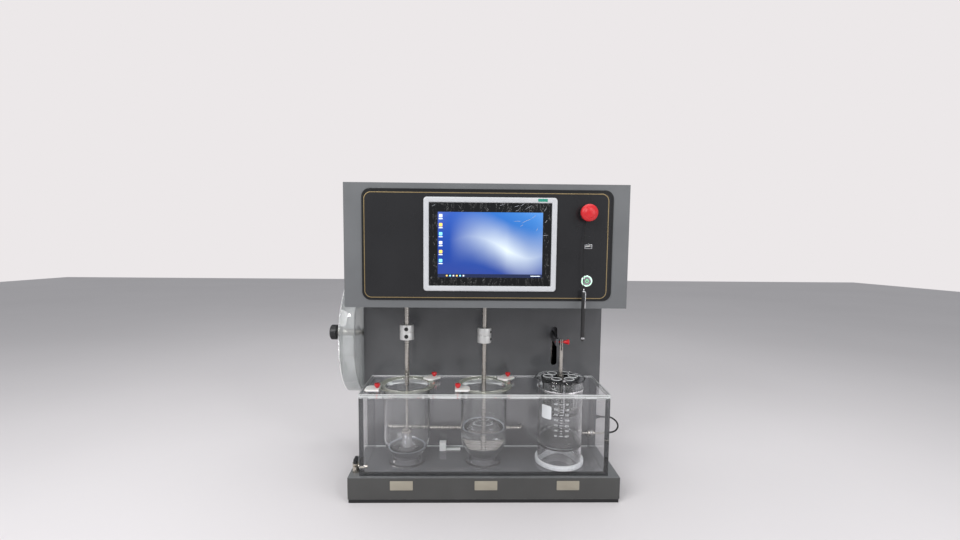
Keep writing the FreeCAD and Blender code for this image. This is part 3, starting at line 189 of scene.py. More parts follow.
def edge_wear_and_highlight_group():
    """Rubbed edges and painted edge highlights: where the rounded normal leaves the face's own, broken up by
    noise.
    """
    tree, given, out = shader_group(
        "Rubbed edges and painted highlight", [("Width", FLOAT, 0.001), ("Amount", FLOAT, 1.0)], [("Mask", FLOAT)])
    own = add(tree, "ShaderNodeNewGeometry").outputs["Normal"]
    round_edge = add(tree, "ShaderNodeBevel", [("Radius", given.outputs["Width"])], samples=6)
    meet = add(tree, "ShaderNodeVectorMath", operation="DOT_PRODUCT")
    tree.links.new(meet.inputs[0], own)
    tree.links.new(meet.inputs[1], round_edge.outputs[0])
    place = add(tree, "ShaderNodeTexCoord").outputs["Object"]
    patches = add(tree, "ShaderNodeTexNoise", [("Vector", place)], Scale=90.0, Detail=5.0)
    edge = spread(tree, meet.outputs["Value"], 1, 0, 0.82, 0.99)
    broken = spread(tree, patches.outputs["Fac"], 0.1, 1, 0.35, 0.65)
    worn_and_lit_edge = maths(tree, "MULTIPLY", edge, broken)
    tree.links.new(out.inputs["Mask"], maths(tree, "MULTIPLY", worn_and_lit_edge, given.outputs["Amount"], True))
    return tree


def dust_group():
    """Settled dust on what faces up."""
    tree, given, out = shader_group("Settled dust", [("Amount", FLOAT, 0.3)], [("Mask", FLOAT)])
    own = add(tree, "ShaderNodeNewGeometry").outputs["Normal"]
    up = add(tree, "ShaderNodeSeparateXYZ", [("Vector", own)]).outputs["Z"]
    place = add(tree, "ShaderNodeTexCoord").outputs["Object"]
    cloud = add(tree, "ShaderNodeTexNoise", [("Vector", place)], Scale=25.0, Detail=6.0, Roughness=0.7)
    top = spread(tree, up, 0, 1, 0.6, 1.0)
    patch = spread(tree, cloud.outputs["Fac"], 0.25, 1, 0.35, 0.7)
    settled = maths(tree, "MULTIPLY", top, patch)
    tree.links.new(out.inputs["Mask"], maths(tree, "MULTIPLY", settled, given.outputs["Amount"], True))
    return tree


GRAIN, EDGE_WEAR_AND_HIGHLIGHT, DUST = grain_group(), edge_wear_and_highlight_group(), dust_group()


def use_group(tree, group, **values):
    node = tree.nodes.new("ShaderNodeGroup")
    node.node_tree = group
    for name, value in values.items():
        node.inputs[name.replace("_", " ")].default_value = value
    return node


def new_material(name):
    """A material, its tree and its shader."""
    material = bpy.data.materials.new(name)
    material.use_nodes = True
    return material, material.node_tree, material.node_tree.nodes["Principled BSDF"]


def dimmed(colour, share):
    return tuple(part * share for part in colour[:3]) + (1,)


def raise_relief(tree, shader, height, strength, reach):
    relief = add(tree, "ShaderNodeBump", [("Height", height)], Strength=strength, Distance=reach)
    tree.links.new(shader.inputs["Normal"], relief.outputs[0])


def surface(name, colour, other, rough, scale, stretch=(1, 1, 1), broad=12.0, bump=0.0, reach=FINE_RELIEF,
            edge_wear_and_highlight=None, edge_band_width=0.0012, dust=0.0, **plain):
    """A solid finish: two close colours and a roughness that vary, fine relief, edges lightened as rubbed
    wear and as painted highlight, dust.
    """
    material, tree, shader = new_material(name)
    for socket, value in plain.items():
        shader.inputs[socket.replace("_", " ").title()].default_value = value
    grain = use_group(tree, GRAIN, Scale=scale, Stretch=stretch, Broad_Scale=broad)
    shade = blended(tree, grain.outputs["Broad"], colour, other)
    # The lighter edge colour is partly rubbed wear and partly a painted highlight where light catches the
    # rounded edges.
    if edge_wear_and_highlight:
        worn_and_lit_edge = use_group(tree, EDGE_WEAR_AND_HIGHLIGHT, Width=edge_band_width, Amount=0.8)
        shade = blended(tree, worn_and_lit_edge.outputs["Mask"], shade, edge_wear_and_highlight)
    if dust:
        settled = use_group(tree, DUST, Amount=dust)
        shade = blended(tree, settled.outputs["Mask"], shade, linear(168, 166, 160))
    tree.links.new(shader.inputs["Base Color"], shade)
    low, high = rough
    tree.links.new(shader.inputs["Roughness"], spread(tree, grain.outputs["Grain"], low, high, 0.3, 0.7))
    if bump:
        raise_relief(tree, shader, grain.outputs["Grain"], bump, reach)
    return material


def pass_between(tree, factor, first, second, output):
    """Mixes two shaders into the tree's output."""
    both = tree.nodes.new("ShaderNodeMixShader")
    tree.links.new(both.inputs[0], factor)
    tree.links.new(both.inputs[1], first.outputs[0])
    tree.links.new(both.inputs[2], second.outputs[0])
    tree.links.new(tree.nodes[output].inputs["Surface"], both.outputs[0])


def clear(name, tint, rough, ior, scale=40.0, bump=0.0, weight=1.0):
    """Clear stock: it bends what is seen through it, and lamps' light passes straight through."""
    material, tree, shader = new_material(name)
    shader.inputs["Transmission Weight"].default_value = weight
    shader.inputs["IOR"].default_value = ior
    grain = use_group(tree, GRAIN, Scale=scale, Broad_Scale=9.0)
    tree.links.new(shader.inputs["Base Color"],
                   blended(tree, grain.outputs["Broad"], tint, dimmed(tint, 0.985)))
    tree.links.new(shader.inputs["Roughness"], spread(tree, grain.outputs["Grain"], *rough, 0.35, 0.7))
    if bump:
        raise_relief(tree, shader, grain.outputs["Grain"], bump, FINE_RELIEF)
    path = tree.nodes.new("ShaderNodeLightPath")
    lamp = maths(tree, "MAXIMUM", path.outputs["Is Shadow Ray"], path.outputs["Is Diffuse Ray"])
    through = add(tree, "ShaderNodeBsdfTransparent", Color=tint)
    pass_between(tree, lamp, shader, through, "Material Output")
    return material


TURNS = {
    "Z": Matrix.Identity(4),
    "X": Matrix.Rotation(math.pi / 2, 4, "Y"),
    "-X": Matrix.Rotation(-math.pi / 2, 4, "Y"),
    "Y": Matrix.Rotation(-math.pi / 2, 4, "X"),
    "-Y": Matrix.Rotation(math.pi / 2, 4, "X"),
}


def at(x, y, z, axis="Z"):
    """From millimetres about a part's own axis to metres in the row frame."""
    return Matrix.Translation((x * MM, y * MM, z * MM)) @ TURNS[axis] @ Matrix.Scale(MM, 4)


def dress(mesh, materials):
    for material in materials if isinstance(materials, (list, tuple)) else [materials]:
        mesh.materials.append(material)


def settle(name, mesh, body, covers=(), angle=SHARP_ANGLE):
    """Shades a finished mesh and lets it ride on its body in place of the nodes that it covers."""
    mesh.name = name
    mesh.shade_smooth()
    mesh.set_sharp_from_angle(angle=math.radians(angle))
    piece = bpy.data.objects.new(name, mesh)
    scene.collection.objects.link(piece)
    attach(piece, body)
    if covers:
        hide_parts(*covers)
    return piece


def finished(name, shape, place, materials, body, covers=(), angle=SHARP_ANGLE):
    """A piece from a bmesh in millimetres, set in its place."""
    shape.transform(place)
    mesh = bpy.data.meshes.new(name)
    shape.to_mesh(mesh)
    shape.free()
    dress(mesh, materials)
    return settle(name, mesh, body, covers, angle)


def eased(points, radius, closed, axis=True):
    """The outline with each corner rounded over two short facets, but for ends on the axis."""
    count = len(points)
    outline = []
    for index, corner in enumerate(points):
        here = Vector(corner)
        ends = index in (0, count - 1) and not closed
        before, after = Vector(points[index - 1]), Vector(points[(index + 1) % count])
        if ends or (axis and here.x < TINY):
            outline.append(here)
            continue
        back, on = before - here, after - here
        if back.length < TINY or on.length < TINY or back.angle(on) > math.radians(150):
            outline.append(here)
            continue
        cut = min(radius, back.length * 0.45, on.length * 0.45)
        first, last = here + back.normalized() * cut, here + on.normalized() * cut
        outline += [first, (first + last) / 4 + here / 2, last]
    return outline


def lathe(points, ease=0.3, steps=TURNED_STEPS):
    """A solid turned about Z from (radius, height) points; one that starts off the axis is a ring."""
    closed = points[0][0] > 0
    outline = eased(points, ease, closed) if ease else [Vector(p) for p in points]
    shape = bmesh.new()
    rows = []
    for spot in outline:
        if spot.x < TINY:
            rows.append([shape.verts.new((0, 0, spot.y))])
            continue
        rows.append([shape.verts.new((spot.x * math.cos(math.tau * k / steps),
                                      spot.x * math.sin(math.tau * k / steps), spot.y))
                     for k in range(steps)])
    pairs = list(zip(rows, rows[1:]))
    if closed:
        pairs.append((rows[-1], rows[0]))
    for low, high in pairs:
        for k in range(steps):
            after = (k + 1) % steps
            if len(low) == 1:
                shape.faces.new((low[0], high[after], high[k]))
            elif len(high) == 1:
                shape.faces.new((low[k], low[after], high[0]))
            else:
                shape.faces.new((low[k], low[after], high[after], high[k]))
    bmesh.ops.recalc_face_normals(shape, faces=shape.faces)
    return shape


def ease_edges(shape, width):
    """Rounds a bmesh's sharp edges."""
    sharp = [edge for edge in shape.edges
             if len(edge.link_faces) == 2 and edge.calc_face_angle(0) > math.radians(30)]
    bmesh.ops.bevel(shape, geom=sharp, offset=width, offset_type="OFFSET", segments=2,
                    profile=0.5, affect="EDGES", clamp_overlap=True)
    return shape


def prism(outline, low, high, ease=0.3):
    """An outline of (x, y) points raised from one height to the other."""
    shape = bmesh.new()
    face = shape.faces.new([shape.verts.new((x, y, low)) for x, y in outline])
    grown = bmesh.ops.extrude_face_region(shape, geom=[face])
    moved = [part for part in grown["geom"] if isinstance(part, bmesh.types.BMVert)]
    bmesh.ops.translate(shape, vec=(0, 0, high - low), verts=moved)
    bmesh.ops.recalc_face_normals(shape, faces=shape.faces)
    return ease_edges(shape, ease) if ease else shape


def box_shape(x, y, z, ease=0.3):
    return prism([(x[0], y[0]), (x[1], y[0]), (x[1], y[1]), (x[0], y[1])], z[0], z[1], ease)


def rounded_outline(width, height, radius, steps=8, centre=(0, 0)):
    points = []
    for quarter, (side_x, side_y) in enumerate(((1, 1), (-1, 1), (-1, -1), (1, -1))):
        for step in range(steps + 1):
            turn = math.pi / 2 * (quarter + step / steps)
            points.append((centre[0] + side_x * (width / 2 - radius) + radius * math.cos(turn),
                           centre[1] + side_y * (height / 2 - radius) + radius * math.sin(turn)))
    return points


def joined(*shapes):
    """Several bmeshes as one, each still closed."""
    whole = bmesh.new()
    scratch = bpy.data.meshes.new("scratch")
    for shape in shapes:
        shape.to_mesh(scratch)
        whole.from_mesh(scratch)
        shape.free()
    bpy.data.meshes.remove(scratch)
    return whole


def moved(shape, x, y, z=0):
    """A bmesh shifted in millimetres."""
    shape.transform(Matrix.Translation((x, y, z)))
    return shape


def round_spots(count, radius):
    """Points evenly round a circle."""
    return [(radius * math.cos(math.tau * k / count), radius * math.sin(math.tau * k / count))
            for k in range(count)]


def merged_copy(node, seam=None):
    """A CAD node's shape with its triangles merged, its flat faces made whole and no hidden seam."""
    shape = bmesh.new()
    source = nodes[node].data
    spots = [shape.verts.new(vertex.co) for vertex in source.vertices]
    for face in source.polygons:
        shape.faces.new([spots[index] for index in face.vertices])
    bmesh.ops.remove_doubles(shape, verts=shape.verts, dist=3e-6)
    if seam is not None:
        inside = [face for face in shape.faces
                  if all(abs(vertex.co.y - seam * MM) < 1e-5 for vertex in face.verts)]
        bmesh.ops.delete(shape, geom=inside, context="FACES_ONLY")
    bmesh.ops.dissolve_limit(shape, angle_limit=math.radians(0.6), verts=shape.verts, edges=shape.edges)
    return shape


def eased_node(node, materials, body, width, segments=2, pick=None, seam=None):
    """A CAD node with its edges rounded; pick chooses each face's material."""
    shape = merged_copy(node, seam)
    if pick:
        for face in shape.faces:
            face.material_index = pick(face)
    mesh = bpy.data.meshes.new(node)
    shape.to_mesh(mesh)
    shape.free()
    dress(mesh, materials)
    piece = settle(node + "_finished", mesh, body, (node,))
    rounding = piece.modifiers.new("eased edges", "BEVEL")
    rounding.width = width * MM
    rounding.segments = segments
    rounding.limit_method = "ANGLE"
    rounding.angle_limit = math.radians(SHARP_ANGLE)
    rounding.harden_normals = True
    rounding.use_clamp_overlap = True
    return piece


def wear_material(material, *names):
    """A CAD node whose shape is right keeps it and takes this finish."""
    for name in names:
        mesh = nodes[name].data
        mesh.materials.clear()
        mesh.materials.append(material)


PAINT = surface("case_paint", linear(104, 106, 108), linear(97, 99, 101), (0.4, 0.52), 1100.0, bump=0.12,
                reach=0.0001, edge_wear_and_highlight=linear(150, 152, 154), dust=0.12)
# A darker copy of the case paint for the base's faces that don't face up: painted shade from light falling
# from above. Its near-white edge colour is a painted highlight along the front top fold.
BASE_SHADED_PAINT = surface("base_paint", linear(72, 72, 71), linear(64, 64, 63), (0.3, 0.42), 1100.0, bump=0.1,
                     reach=0.0001, edge_wear_and_highlight=linear(196, 196, 197), edge_band_width=0.0016, dust=0.1)
COLUMN = surface("column_paint", linear(90, 91, 93), linear(83, 84, 86), (0.16, 0.23), 1100.0, bump=0.05,
                 reach=0.0001, edge_wear_and_highlight=linear(130, 131, 133))
PLINTH = surface("plinth_black", linear(24, 24, 25), linear(18, 18, 19), (0.5, 0.65), 900.0, bump=0.15,
                 dust=0.1)
PANEL = surface("panel_black", linear(34, 34, 36), linear(29, 29, 31), (0.2, 0.28), 1500.0, bump=0.05,
                reach=0.00005)
BORDER = surface("panel_border", linear(12, 12, 13), linear(9, 9, 10), (0.25, 0.35), 1500.0)
GOLD = surface("gold_line", linear(168, 148, 108), linear(150, 130, 92), (0.32, 0.45), 600.0, metallic=0.7)
SILVER = surface("bezel_silver", linear(196, 198, 201), linear(188, 190, 194), (0.3, 0.38), 1400.0,
                 bump=0.05, reach=0.00005, edge_wear_and_highlight=linear(222, 223, 225))
STEEL = surface("shaft_steel", linear(186, 182, 176), linear(160, 156, 150), (0.2, 0.36), 260.0,
                (0.04, 0.04, 4.0), bump=0.1, reach=0.00004, metallic=1.0)
CROSS_STEEL = surface("drum_steel", linear(186, 182, 176), linear(160, 156, 150), (0.2, 0.36), 260.0,
                      (4.0, 0.04, 0.04), bump=0.1, reach=0.00004, metallic=1.0)
MATTE_METAL = surface("matte_aluminium", linear(204, 204, 203), linear(192, 192, 191), (0.38, 0.5), 500.0,
                      (0.05, 0.05, 5.0), bump=0.1, reach=0.00004, edge_wear_and_highlight=linear(228, 228, 227),
                      edge_band_width=0.0006, metallic=0.55)
PLATED = surface("plated_metal", linear(206, 206, 208), linear(186, 186, 188), (0.12, 0.24), 700.0,
                 edge_wear_and_highlight=linear(235, 235, 236), edge_band_width=0.0005, metallic=1.0)
PLATE_BEIGE = surface("brushed_plate", linear(176, 170, 155), linear(160, 154, 140), (0.3, 0.5), 420.0,
                      (0.05, 1.0, 6.0), bump=0.25, reach=0.00005, metallic=0.55)
ARM_GREY = surface("arm_grey", linear(96, 97, 100), linear(84, 85, 88), (0.34, 0.46), 700.0, bump=0.1,
                   reach=0.00005, edge_wear_and_highlight=linear(150, 151, 153), metallic=0.8)
RAW_ALUMINIUM = surface("raw_aluminium", linear(176, 177, 179), linear(160, 161, 163), (0.3, 0.45), 500.0,
                        (1, 0.1, 3), bump=0.15, reach=0.00005, edge_wear_and_highlight=linear(215, 215, 216), metallic=0.9)
MOTOR_BLACK = surface("motor_black", linear(40, 40, 43), linear(30, 30, 33), (0.4, 0.55), 700.0, bump=0.1,
                      edge_wear_and_highlight=linear(110, 110, 112))
NICKEL = surface("valve_nickel", linear(196, 190, 180), linear(170, 164, 152), (0.16, 0.3), 500.0,
                 bump=0.08, edge_wear_and_highlight=linear(226, 222, 214), edge_band_width=0.0006, metallic=1.0)
BLACK = surface("black_plastic", linear(30, 30, 31), linear(22, 22, 23), (0.32, 0.46), 1000.0, bump=0.12,
                reach=0.0001, edge_wear_and_highlight=linear(70, 70, 72))
SCREW_BLACK = surface("screw_black", linear(13, 13, 14), linear(8, 8, 9), (0.45, 0.6), 800.0)
RACK_BLACK = surface("rack_black", linear(30, 31, 33), linear(20, 21, 23), (0.18, 0.3), 800.0, bump=0.05,
                     edge_wear_and_highlight=linear(96, 98, 100))
RUBBER = surface("cable_rubber", linear(12, 12, 13), linear(8, 8, 9), (0.6, 0.75), 1500.0, bump=0.2,
                 reach=0.0001)
CORD_WEAVE = surface("tether_cord", linear(9, 9, 10), linear(5, 5, 6), (0.8, 0.95), 1800.0,
                     (1, 1, 0.4), bump=0.4, reach=0.0001)
RED = surface("signal_red", linear(212, 32, 40), linear(200, 26, 34), (0.34, 0.42), 900.0,
              edge_wear_and_highlight=linear(232, 80, 84), edge_band_width=0.0008)
SCREW_RED = surface("screw_red", linear(206, 30, 38), linear(186, 22, 30), (0.26, 0.4), 900.0, bump=0.1,
                    reach=0.00005, edge_wear_and_highlight=linear(230, 90, 90), edge_band_width=0.0006)
WHITE = surface("clip_white", linear(232, 232, 229), linear(222, 222, 218), (0.3, 0.42), 900.0, bump=0.06,
                reach=0.00008, edge_wear_and_highlight=linear(246, 246, 244), subsurface_weight=0.1, subsurface_scale=0.004)
WHITE_PRINT = surface("white_print", linear(238, 240, 240), linear(226, 229, 229), (0.5, 0.65), 1200.0,
                      bump=0.1)
# A near-white strip colour that is a painted highlight: bright lines along the lid's edges and along the
# tank's back joint.
GLINT_STRIP = surface("polished_edge", linear(240, 242, 241), linear(228, 231, 230), (0.25, 0.4), 300.0,
                   (0.1, 0.1, 3.0), transmission_weight=0.3)
FROSTED = surface("frosted_flange", linear(244, 245, 246), linear(234, 236, 237), (0.2, 0.35), 500.0,
                  bump=0.1, transmission_weight=0.2)
# A pale colour for painted glints: the light along the film's creases and along the water's meniscus.
GLINT_WHITE = surface("film_crease", linear(206, 210, 216), linear(170, 176, 186), (0.1, 0.25), 300.0,
                     transmission_weight=0.4)
BOARD_GREEN = surface("board_green", linear(24, 84, 52), linear(18, 70, 44), (0.35, 0.5), 400.0, bump=0.2)
BELT_BLACK = surface("belt_black", linear(26, 26, 27), linear(18, 18, 19), (0.55, 0.7), 900.0, bump=0.3)
TEAL = surface("film_tab", linear(40, 140, 120), linear(34, 126, 108), (0.3, 0.42), 800.0)

ACRYLIC = clear("clear_acrylic", linear(252, 252, 253), (0.0, 0.03), 1.49, weight=0.992)
ACRYLIC_EDGE = clear("acrylic_edge", linear(242, 244, 244), (0.03, 0.14), 1.49, 120.0, bump=0.1,
                     weight=0.75)
DRUM_MILKY = surface("drum_milky", linear(236, 238, 238), linear(230, 233, 232), (0.03, 0.06), 30.0,
                     transmission_weight=0.8)
DRUM_CLEAR = clear("drum_clear", linear(244, 246, 246), (0.0, 0.03), 1.49, weight=0.9)
GLASS = clear("clear_glass", linear(251, 252, 252), (0.0, 0.02), 1.5, weight=0.994)
RIM_GLASS = clear("rim_glass", linear(242, 244, 234), (0.0, 0.05), 1.5, 90.0, weight=0.9)
CLIP_LAYER = clear("clip_layer", linear(230, 232, 228), (0.25, 0.4), 1.45, 200.0, bump=0.1)
WATER = clear("water", linear(252, 253, 253), (0.0, 0.01), 1.33)


def picture_frame(width, height, corner, section, ease=0.3, steps=8):
    """A frame swept round a rounded rectangle; section is (inset, height) points of its profile."""
    shape = bmesh.new()
    rows = []
    for spot in eased(section, ease, True, False):
        inset, level = spot
        ring = rounded_outline(width - 2 * inset, height - 2 * inset, max(corner - inset, 0.4), steps)
        rows.append([shape.verts.new((x, y, level)) for x, y in ring])
    count = len(rows[0])
    for low, high in zip(rows, rows[1:] + rows[:1]):
        for k in range(count):
            after = (k + 1) % count
            shape.faces.new((low[k], low[after], high[after], high[k]))
    bmesh.ops.recalc_face_normals(shape, faces=shape.faces)
    return shape


def build_case():
    # The base's sides take the darker painted-shade copy, and its faces that face up take the case paint.
    eased_node("base_shell", [BASE_SHADED_PAINT, PAINT], "case", 1.0,
               pick=face_choice(lambda spot, normal: normal.z > 0.5))
    eased_node("base_plinth", PLINTH, "case", 0.6)
    eased_node("column_shell", COLUMN, "case", 0.5)
    eased_node("head_shell", PAINT, "case", 1.0, seam=-178)
    eased_node("rear_cover", PAINT, "case", 0.4)
    eased_node("front_panel", PANEL, "case", 0.4)
    border = picture_frame(525.6, 231.6, 17.3, [(0, 0), (0, 0.06), (4.8, 0.06), (4.8, 0)], 0)
    finished("panel_border", border, at(1.5, PANEL_FACE, 566.5, "-Y"), BORDER, "case")
    line = picture_frame(512.4, 220.7, 15, [(0, 0), (0, 0.12), (1.5, 0.12), (1.5, 0)], 0.04)
    finished("panel_gold_line", line, at(-1.2, PANEL_FACE, 565.35, "-Y"), GOLD, "case")
    for index, x in enumerate((-182, 3.5, 184.5)):
        plate = prism(rounded_outline(50, 21, 1.2, 4), 0, 0.8, 0.2)
        finished("bare_name_plate_%d" % (index + 1), plate, at(x, -180, 40.5, "-Y"), PLATE_BEIGE, "case")


def picture_material():
    """The screen's own picture: blue with pale waves, lit from within."""
    material, tree, shader = new_material("screen_picture")
    shader.inputs["Roughness"].default_value = 0.2
    shader.inputs["Base Color"].default_value = linear(4, 6, 12)
    place = add(tree, "ShaderNodeTexCoord").outputs["Object"]
    apart = add(tree, "ShaderNodeSeparateXYZ", [("Vector", place)])
    across = spread(tree, apart.outputs["X"], 0, 1, -0.103, 0.116)
    upward = spread(tree, apart.outputs["Z"], 0, 1, 0.499, 0.635)
    drift = add(tree, "ShaderNodeTexNoise", [("Vector", place)], Scale=14.0, Detail=2.0)
    sway = maths(tree, "MULTIPLY", maths(tree, "SINE", maths(tree, "MULTIPLY", across, 5.2)), 0.16)
    lean = maths(tree, "ADD", sway, maths(tree, "MULTIPLY", drift.outputs["Fac"], 0.12))
    rise = maths(tree, "SUBTRACT", upward, lean)
    glow_up = maths(tree, "ABSOLUTE", maths(tree, "SUBTRACT", rise, 0.42))
    band = spread(tree, glow_up, 1, 0, 0.0, 0.44)
    reach = spread(tree, maths(tree, "ABSOLUTE", maths(tree, "SUBTRACT", across, 0.66)), 1, 0, 0.0, 0.55)
    pale = maths(tree, "MULTIPLY", maths(tree, "POWER", band, 1.3), reach)
    deep = blended(tree, across, linear(26, 76, 184), linear(58, 140, 222))
    dusk = blended(tree, upward, linear(18, 56, 150), deep)
    colour = blended(tree, pale, dusk, linear(232, 244, 252))
    tree.links.new(shader.inputs["Emission Color"], colour)
    shader.inputs["Emission Strength"].default_value = 1.15
    return material


def glow(name, colour, strength):
    """A lit surface whose brightness varies a little."""
    material, tree, shader = new_material(name)
    shader.inputs["Base Color"].default_value = colour
    shader.inputs["Roughness"].default_value = 0.35
    grain = use_group(tree, GRAIN, Scale=500.0, Broad_Scale=60.0)
    tree.links.new(shader.inputs["Emission Color"],
                   blended(tree, grain.outputs["Broad"], colour, dimmed(colour, 0.85)))
    shader.inputs["Emission Strength"].default_value = strength
    return material


def screen_glass_material():
    """Black glass under a protective film: fine wrinkles and specks."""
    material = surface("screen_glass", linear(10, 11, 13), linear(7, 8, 10), (0.05, 0.12), 900.0)
    tree = material.node_tree
    shader = tree.nodes["Principled BSDF"]
    place = add(tree, "ShaderNodeTexCoord").outputs["Object"]
    run = add(tree, "ShaderNodeMapping", [("Vector", place)])
    run.inputs["Rotation"].default_value = (0, 0.7, 0)
    run.inputs["Scale"].default_value = (1, 1, 0.25)
    folds = add(tree, "ShaderNodeTexNoise", [("Vector", run.outputs[0])], Scale=120.0, Detail=3.0)
    ridge = maths(tree, "ABSOLUTE", maths(tree, "SUBTRACT", folds.outputs["Fac"], 0.5))
    crease = spread(tree, ridge, 1, 0, 0.0, 0.03)
    raise_relief(tree, shader, crease, 0.9, 0.0007)
    dots = add(tree, "ShaderNodeTexVoronoi", [("Vector", place)], Scale=160.0)
    speck = spread(tree, dots.outputs["Distance"], 1, 0, 0.03, 0.07)
    rare = spread(tree, add(tree, "ShaderNodeTexNoise", [("Vector", place)], Scale=45.0).outputs["Fac"],
                  0, 1, 0.52, 0.6)
    base = shader.inputs["Base Color"].links[0].from_socket
    tree.links.new(shader.inputs["Base Color"],
                   blended(tree, maths(tree, "MULTIPLY", speck, rare), base, linear(196, 196, 196)))
    return material


def build_screen():
    frame_profile = [(0, 0), (0, 4.6), (2.2, 6), (9.6, 6), (11.5, 4.4), (11.5, 0)]
    finished("screen_bezel_finished", picture_frame(279, 196, 7, frame_profile, 0.9),
             at(6.5, PANEL_FACE, 568, "-Y"), SILVER, "case", ("screen_bezel",))
    wear_material(screen_glass_material(), "screen_display")
    picture = box_shape((-103, 116), (499, 635), (0, 0.12), 0.03)
    finished("screen_picture", picture, at(0, -186.8, 0, "-Y"), picture_material(), "case")
    pale = glow("icon_pale", linear(222, 232, 240), 0.9)
    colours = (glow("icon_grey", linear(196, 204, 214), 0.9), glow("icon_amber", linear(232, 190, 90), 0.9),
               glow("icon_cyan", linear(120, 206, 232), 0.9))
    icons = []
    for step in range(6):
        z = 627 - 18.6 * step
        icons.append((prism(rounded_outline(7, 7, 1.2, 3, (-97, z)), 0, 0.05, 0), colours[step % 3]))
        icons.append((box_shape((-101, -93), (z - 7, z - 5.6), (0, 0.05), 0), pale))
    for step in range(6):
        icons.append((prism(rounded_outline(3.2, 3.2, 0.6, 3, (-84 + 7 * step, 502.6)), 0, 0.05, 0),
                      colours[(step + 1) % 3]))
    icons.append((box_shape((92, 112), (502, 503.2), (0, 0.05), 0), pale))
    bar = box_shape((-103, 116), (499, 506.2), (0, 0.04), 0)
    finished("screen_bar", bar, at(0, -186.92, 0, "-Y"), glow("bar_navy", linear(14, 26, 58), 0.8), "case")
    whole, shades = [], []
    for shape, shade in icons:
        if shade not in shades:
            shades.append(shade)
        for face in shape.faces:
            face.material_index = shades.index(shade)
        whole.append(shape)
    finished("screen_icons", joined(*whole), at(0, -186.96, 0, "-Y"), shades, "case")
    # Pale strips along the film's creases: painted glints where light catches them.
    crease_glints = []
    for x, z, length, lean in ((61, 648, 11, 20), (73, 651, 14, 34), (62, 639, 9, 28), (86, 646, 18, 30),
                               (63, 617, 16, 2), (82, 618, 27, 24), (72, 608, 9, 36), (98, 627, 12, 40),
                               (121, 642, 10, 62), (123, 617, 9, 48), (104, 600, 8, 60), (-112, 648, 8, 30),
                               (30, 650, 12, 14), (121, 588, 12, 2)):
        crease = prism([(length * (step / 5 - 0.5), 0.55 * math.sin(math.pi * step / 5)) for step in range(6)]
                       + [(length * (0.3 - step / 5), -0.25) for step in range(4)], 0, 0.05, 0)
        crease.transform(Matrix.Translation((x, z, 0)) @ Matrix.Rotation(math.radians(lean), 4, "Z"))
        crease_glints.append(crease)
    finished("film_creases", joined(*crease_glints), at(0, -187.02, 0, "-Y"), GLINT_WHITE, "case")
    tab = prism(rounded_outline(20, 6, 1, 3), 0, 0.15, 0)
    finished("film_pull_tab", tab, at(115, -188, 660.5, "-Y"), TEAL, "case")


def build_controls():
    profile = [(0, -18), (0, 0.8), (1.7, 0.8), (1.7, -13), (3.4, -13), (3.4, -18)]
    shell = picture_frame(16, 9, 1.0, profile, 0.2, 3)
    floor = box_shape((-6, 6), (-2.5, 2.5), (-16, -13), 0)
    finished("usb_shell", joined(shell, floor), at(*USB_PLACE, "-Y"), PLATED, "case",
             ("usb_socket",))
    tongue = box_shape((-5.2, 5.2), (0.3, 2.2), (-13, -1.2), 0.1)
    finished("usb_tongue", tongue, at(*USB_PLACE, "-Y"), WHITE, "case")
    eased_node("estop_collar", BLACK, "case", 0.4)
    wear_material(RED, "estop_stem")
    top = 30.0
    ball = (17.6 ** 2 / 8 + 8) / 2
    crown = []
    for step in range(10, 0, -1):
        reach = 1.715 * step
        level = top - ball + math.sqrt(ball * ball - reach * reach)
        if step == 7:
            crown += [(12.5, level - 0.15), (12.2, level - 0.45), (11.7, level - 0.4), (11.4, level + 0.1)]
        else:
            crown.append((reach, level))
    cap = [(0, 25.1), (8.05, 25.1), (8.05, 14), (15.6, 14), (17.6, 16), (17.6, 21.8)] + crown + [(0, top)]
    finished("estop_cap_finished", lathe(cap, 0.5), at(209, PANEL_FACE, 635, "-Y"), RED, "stop_cap",
             ("estop_cap",))
    ring = [(9.06, -18), (10.8, -18), (10.8, 0), (12.5, 0), (12.5, 2.2), (11.6, 3), (10.9, 3), (10.7, 2.5),
            (9.8, 2.5), (9.6, 3), (9.06, 3)]
    finished("power_ring_finished", lathe(ring, 0.25), at(*POWER_PLACE, "-Y"), PLATED, "case",
             ("power_button_ring",))
    lamp = [(9.75, 2.0), (10.75, 2.0), (10.75, 2.75), (9.75, 2.75)]
    finished("power_lamp_ring", lathe(lamp, 0.15), at(*POWER_PLACE, "-Y"),
             glow("lamp_green", linear(190, 255, 214), 1.6), "case")
    button = [(0, -17), (9, -17), (9, 3.7), (8.2, 4.5), (0, 4.35)]
    finished("power_button_finished", lathe(button, 0.4), at(*POWER_PLACE, "-Y"), PLATED, "power_button",
             ("power_button",))
    sign = joined(lathe([(2.6, 4.32), (3.3, 4.32), (3.3, 4.5), (2.6, 4.5)], 0.05, 40),
                  box_shape((-0.35, 0.35), (1.2, 4.2), (4.3, 4.5), 0.05))
    finished("power_button_sign", sign, at(*POWER_PLACE, "-Y"),
             glow("sign_green", linear(120, 230, 160), 1.0), "power_button")


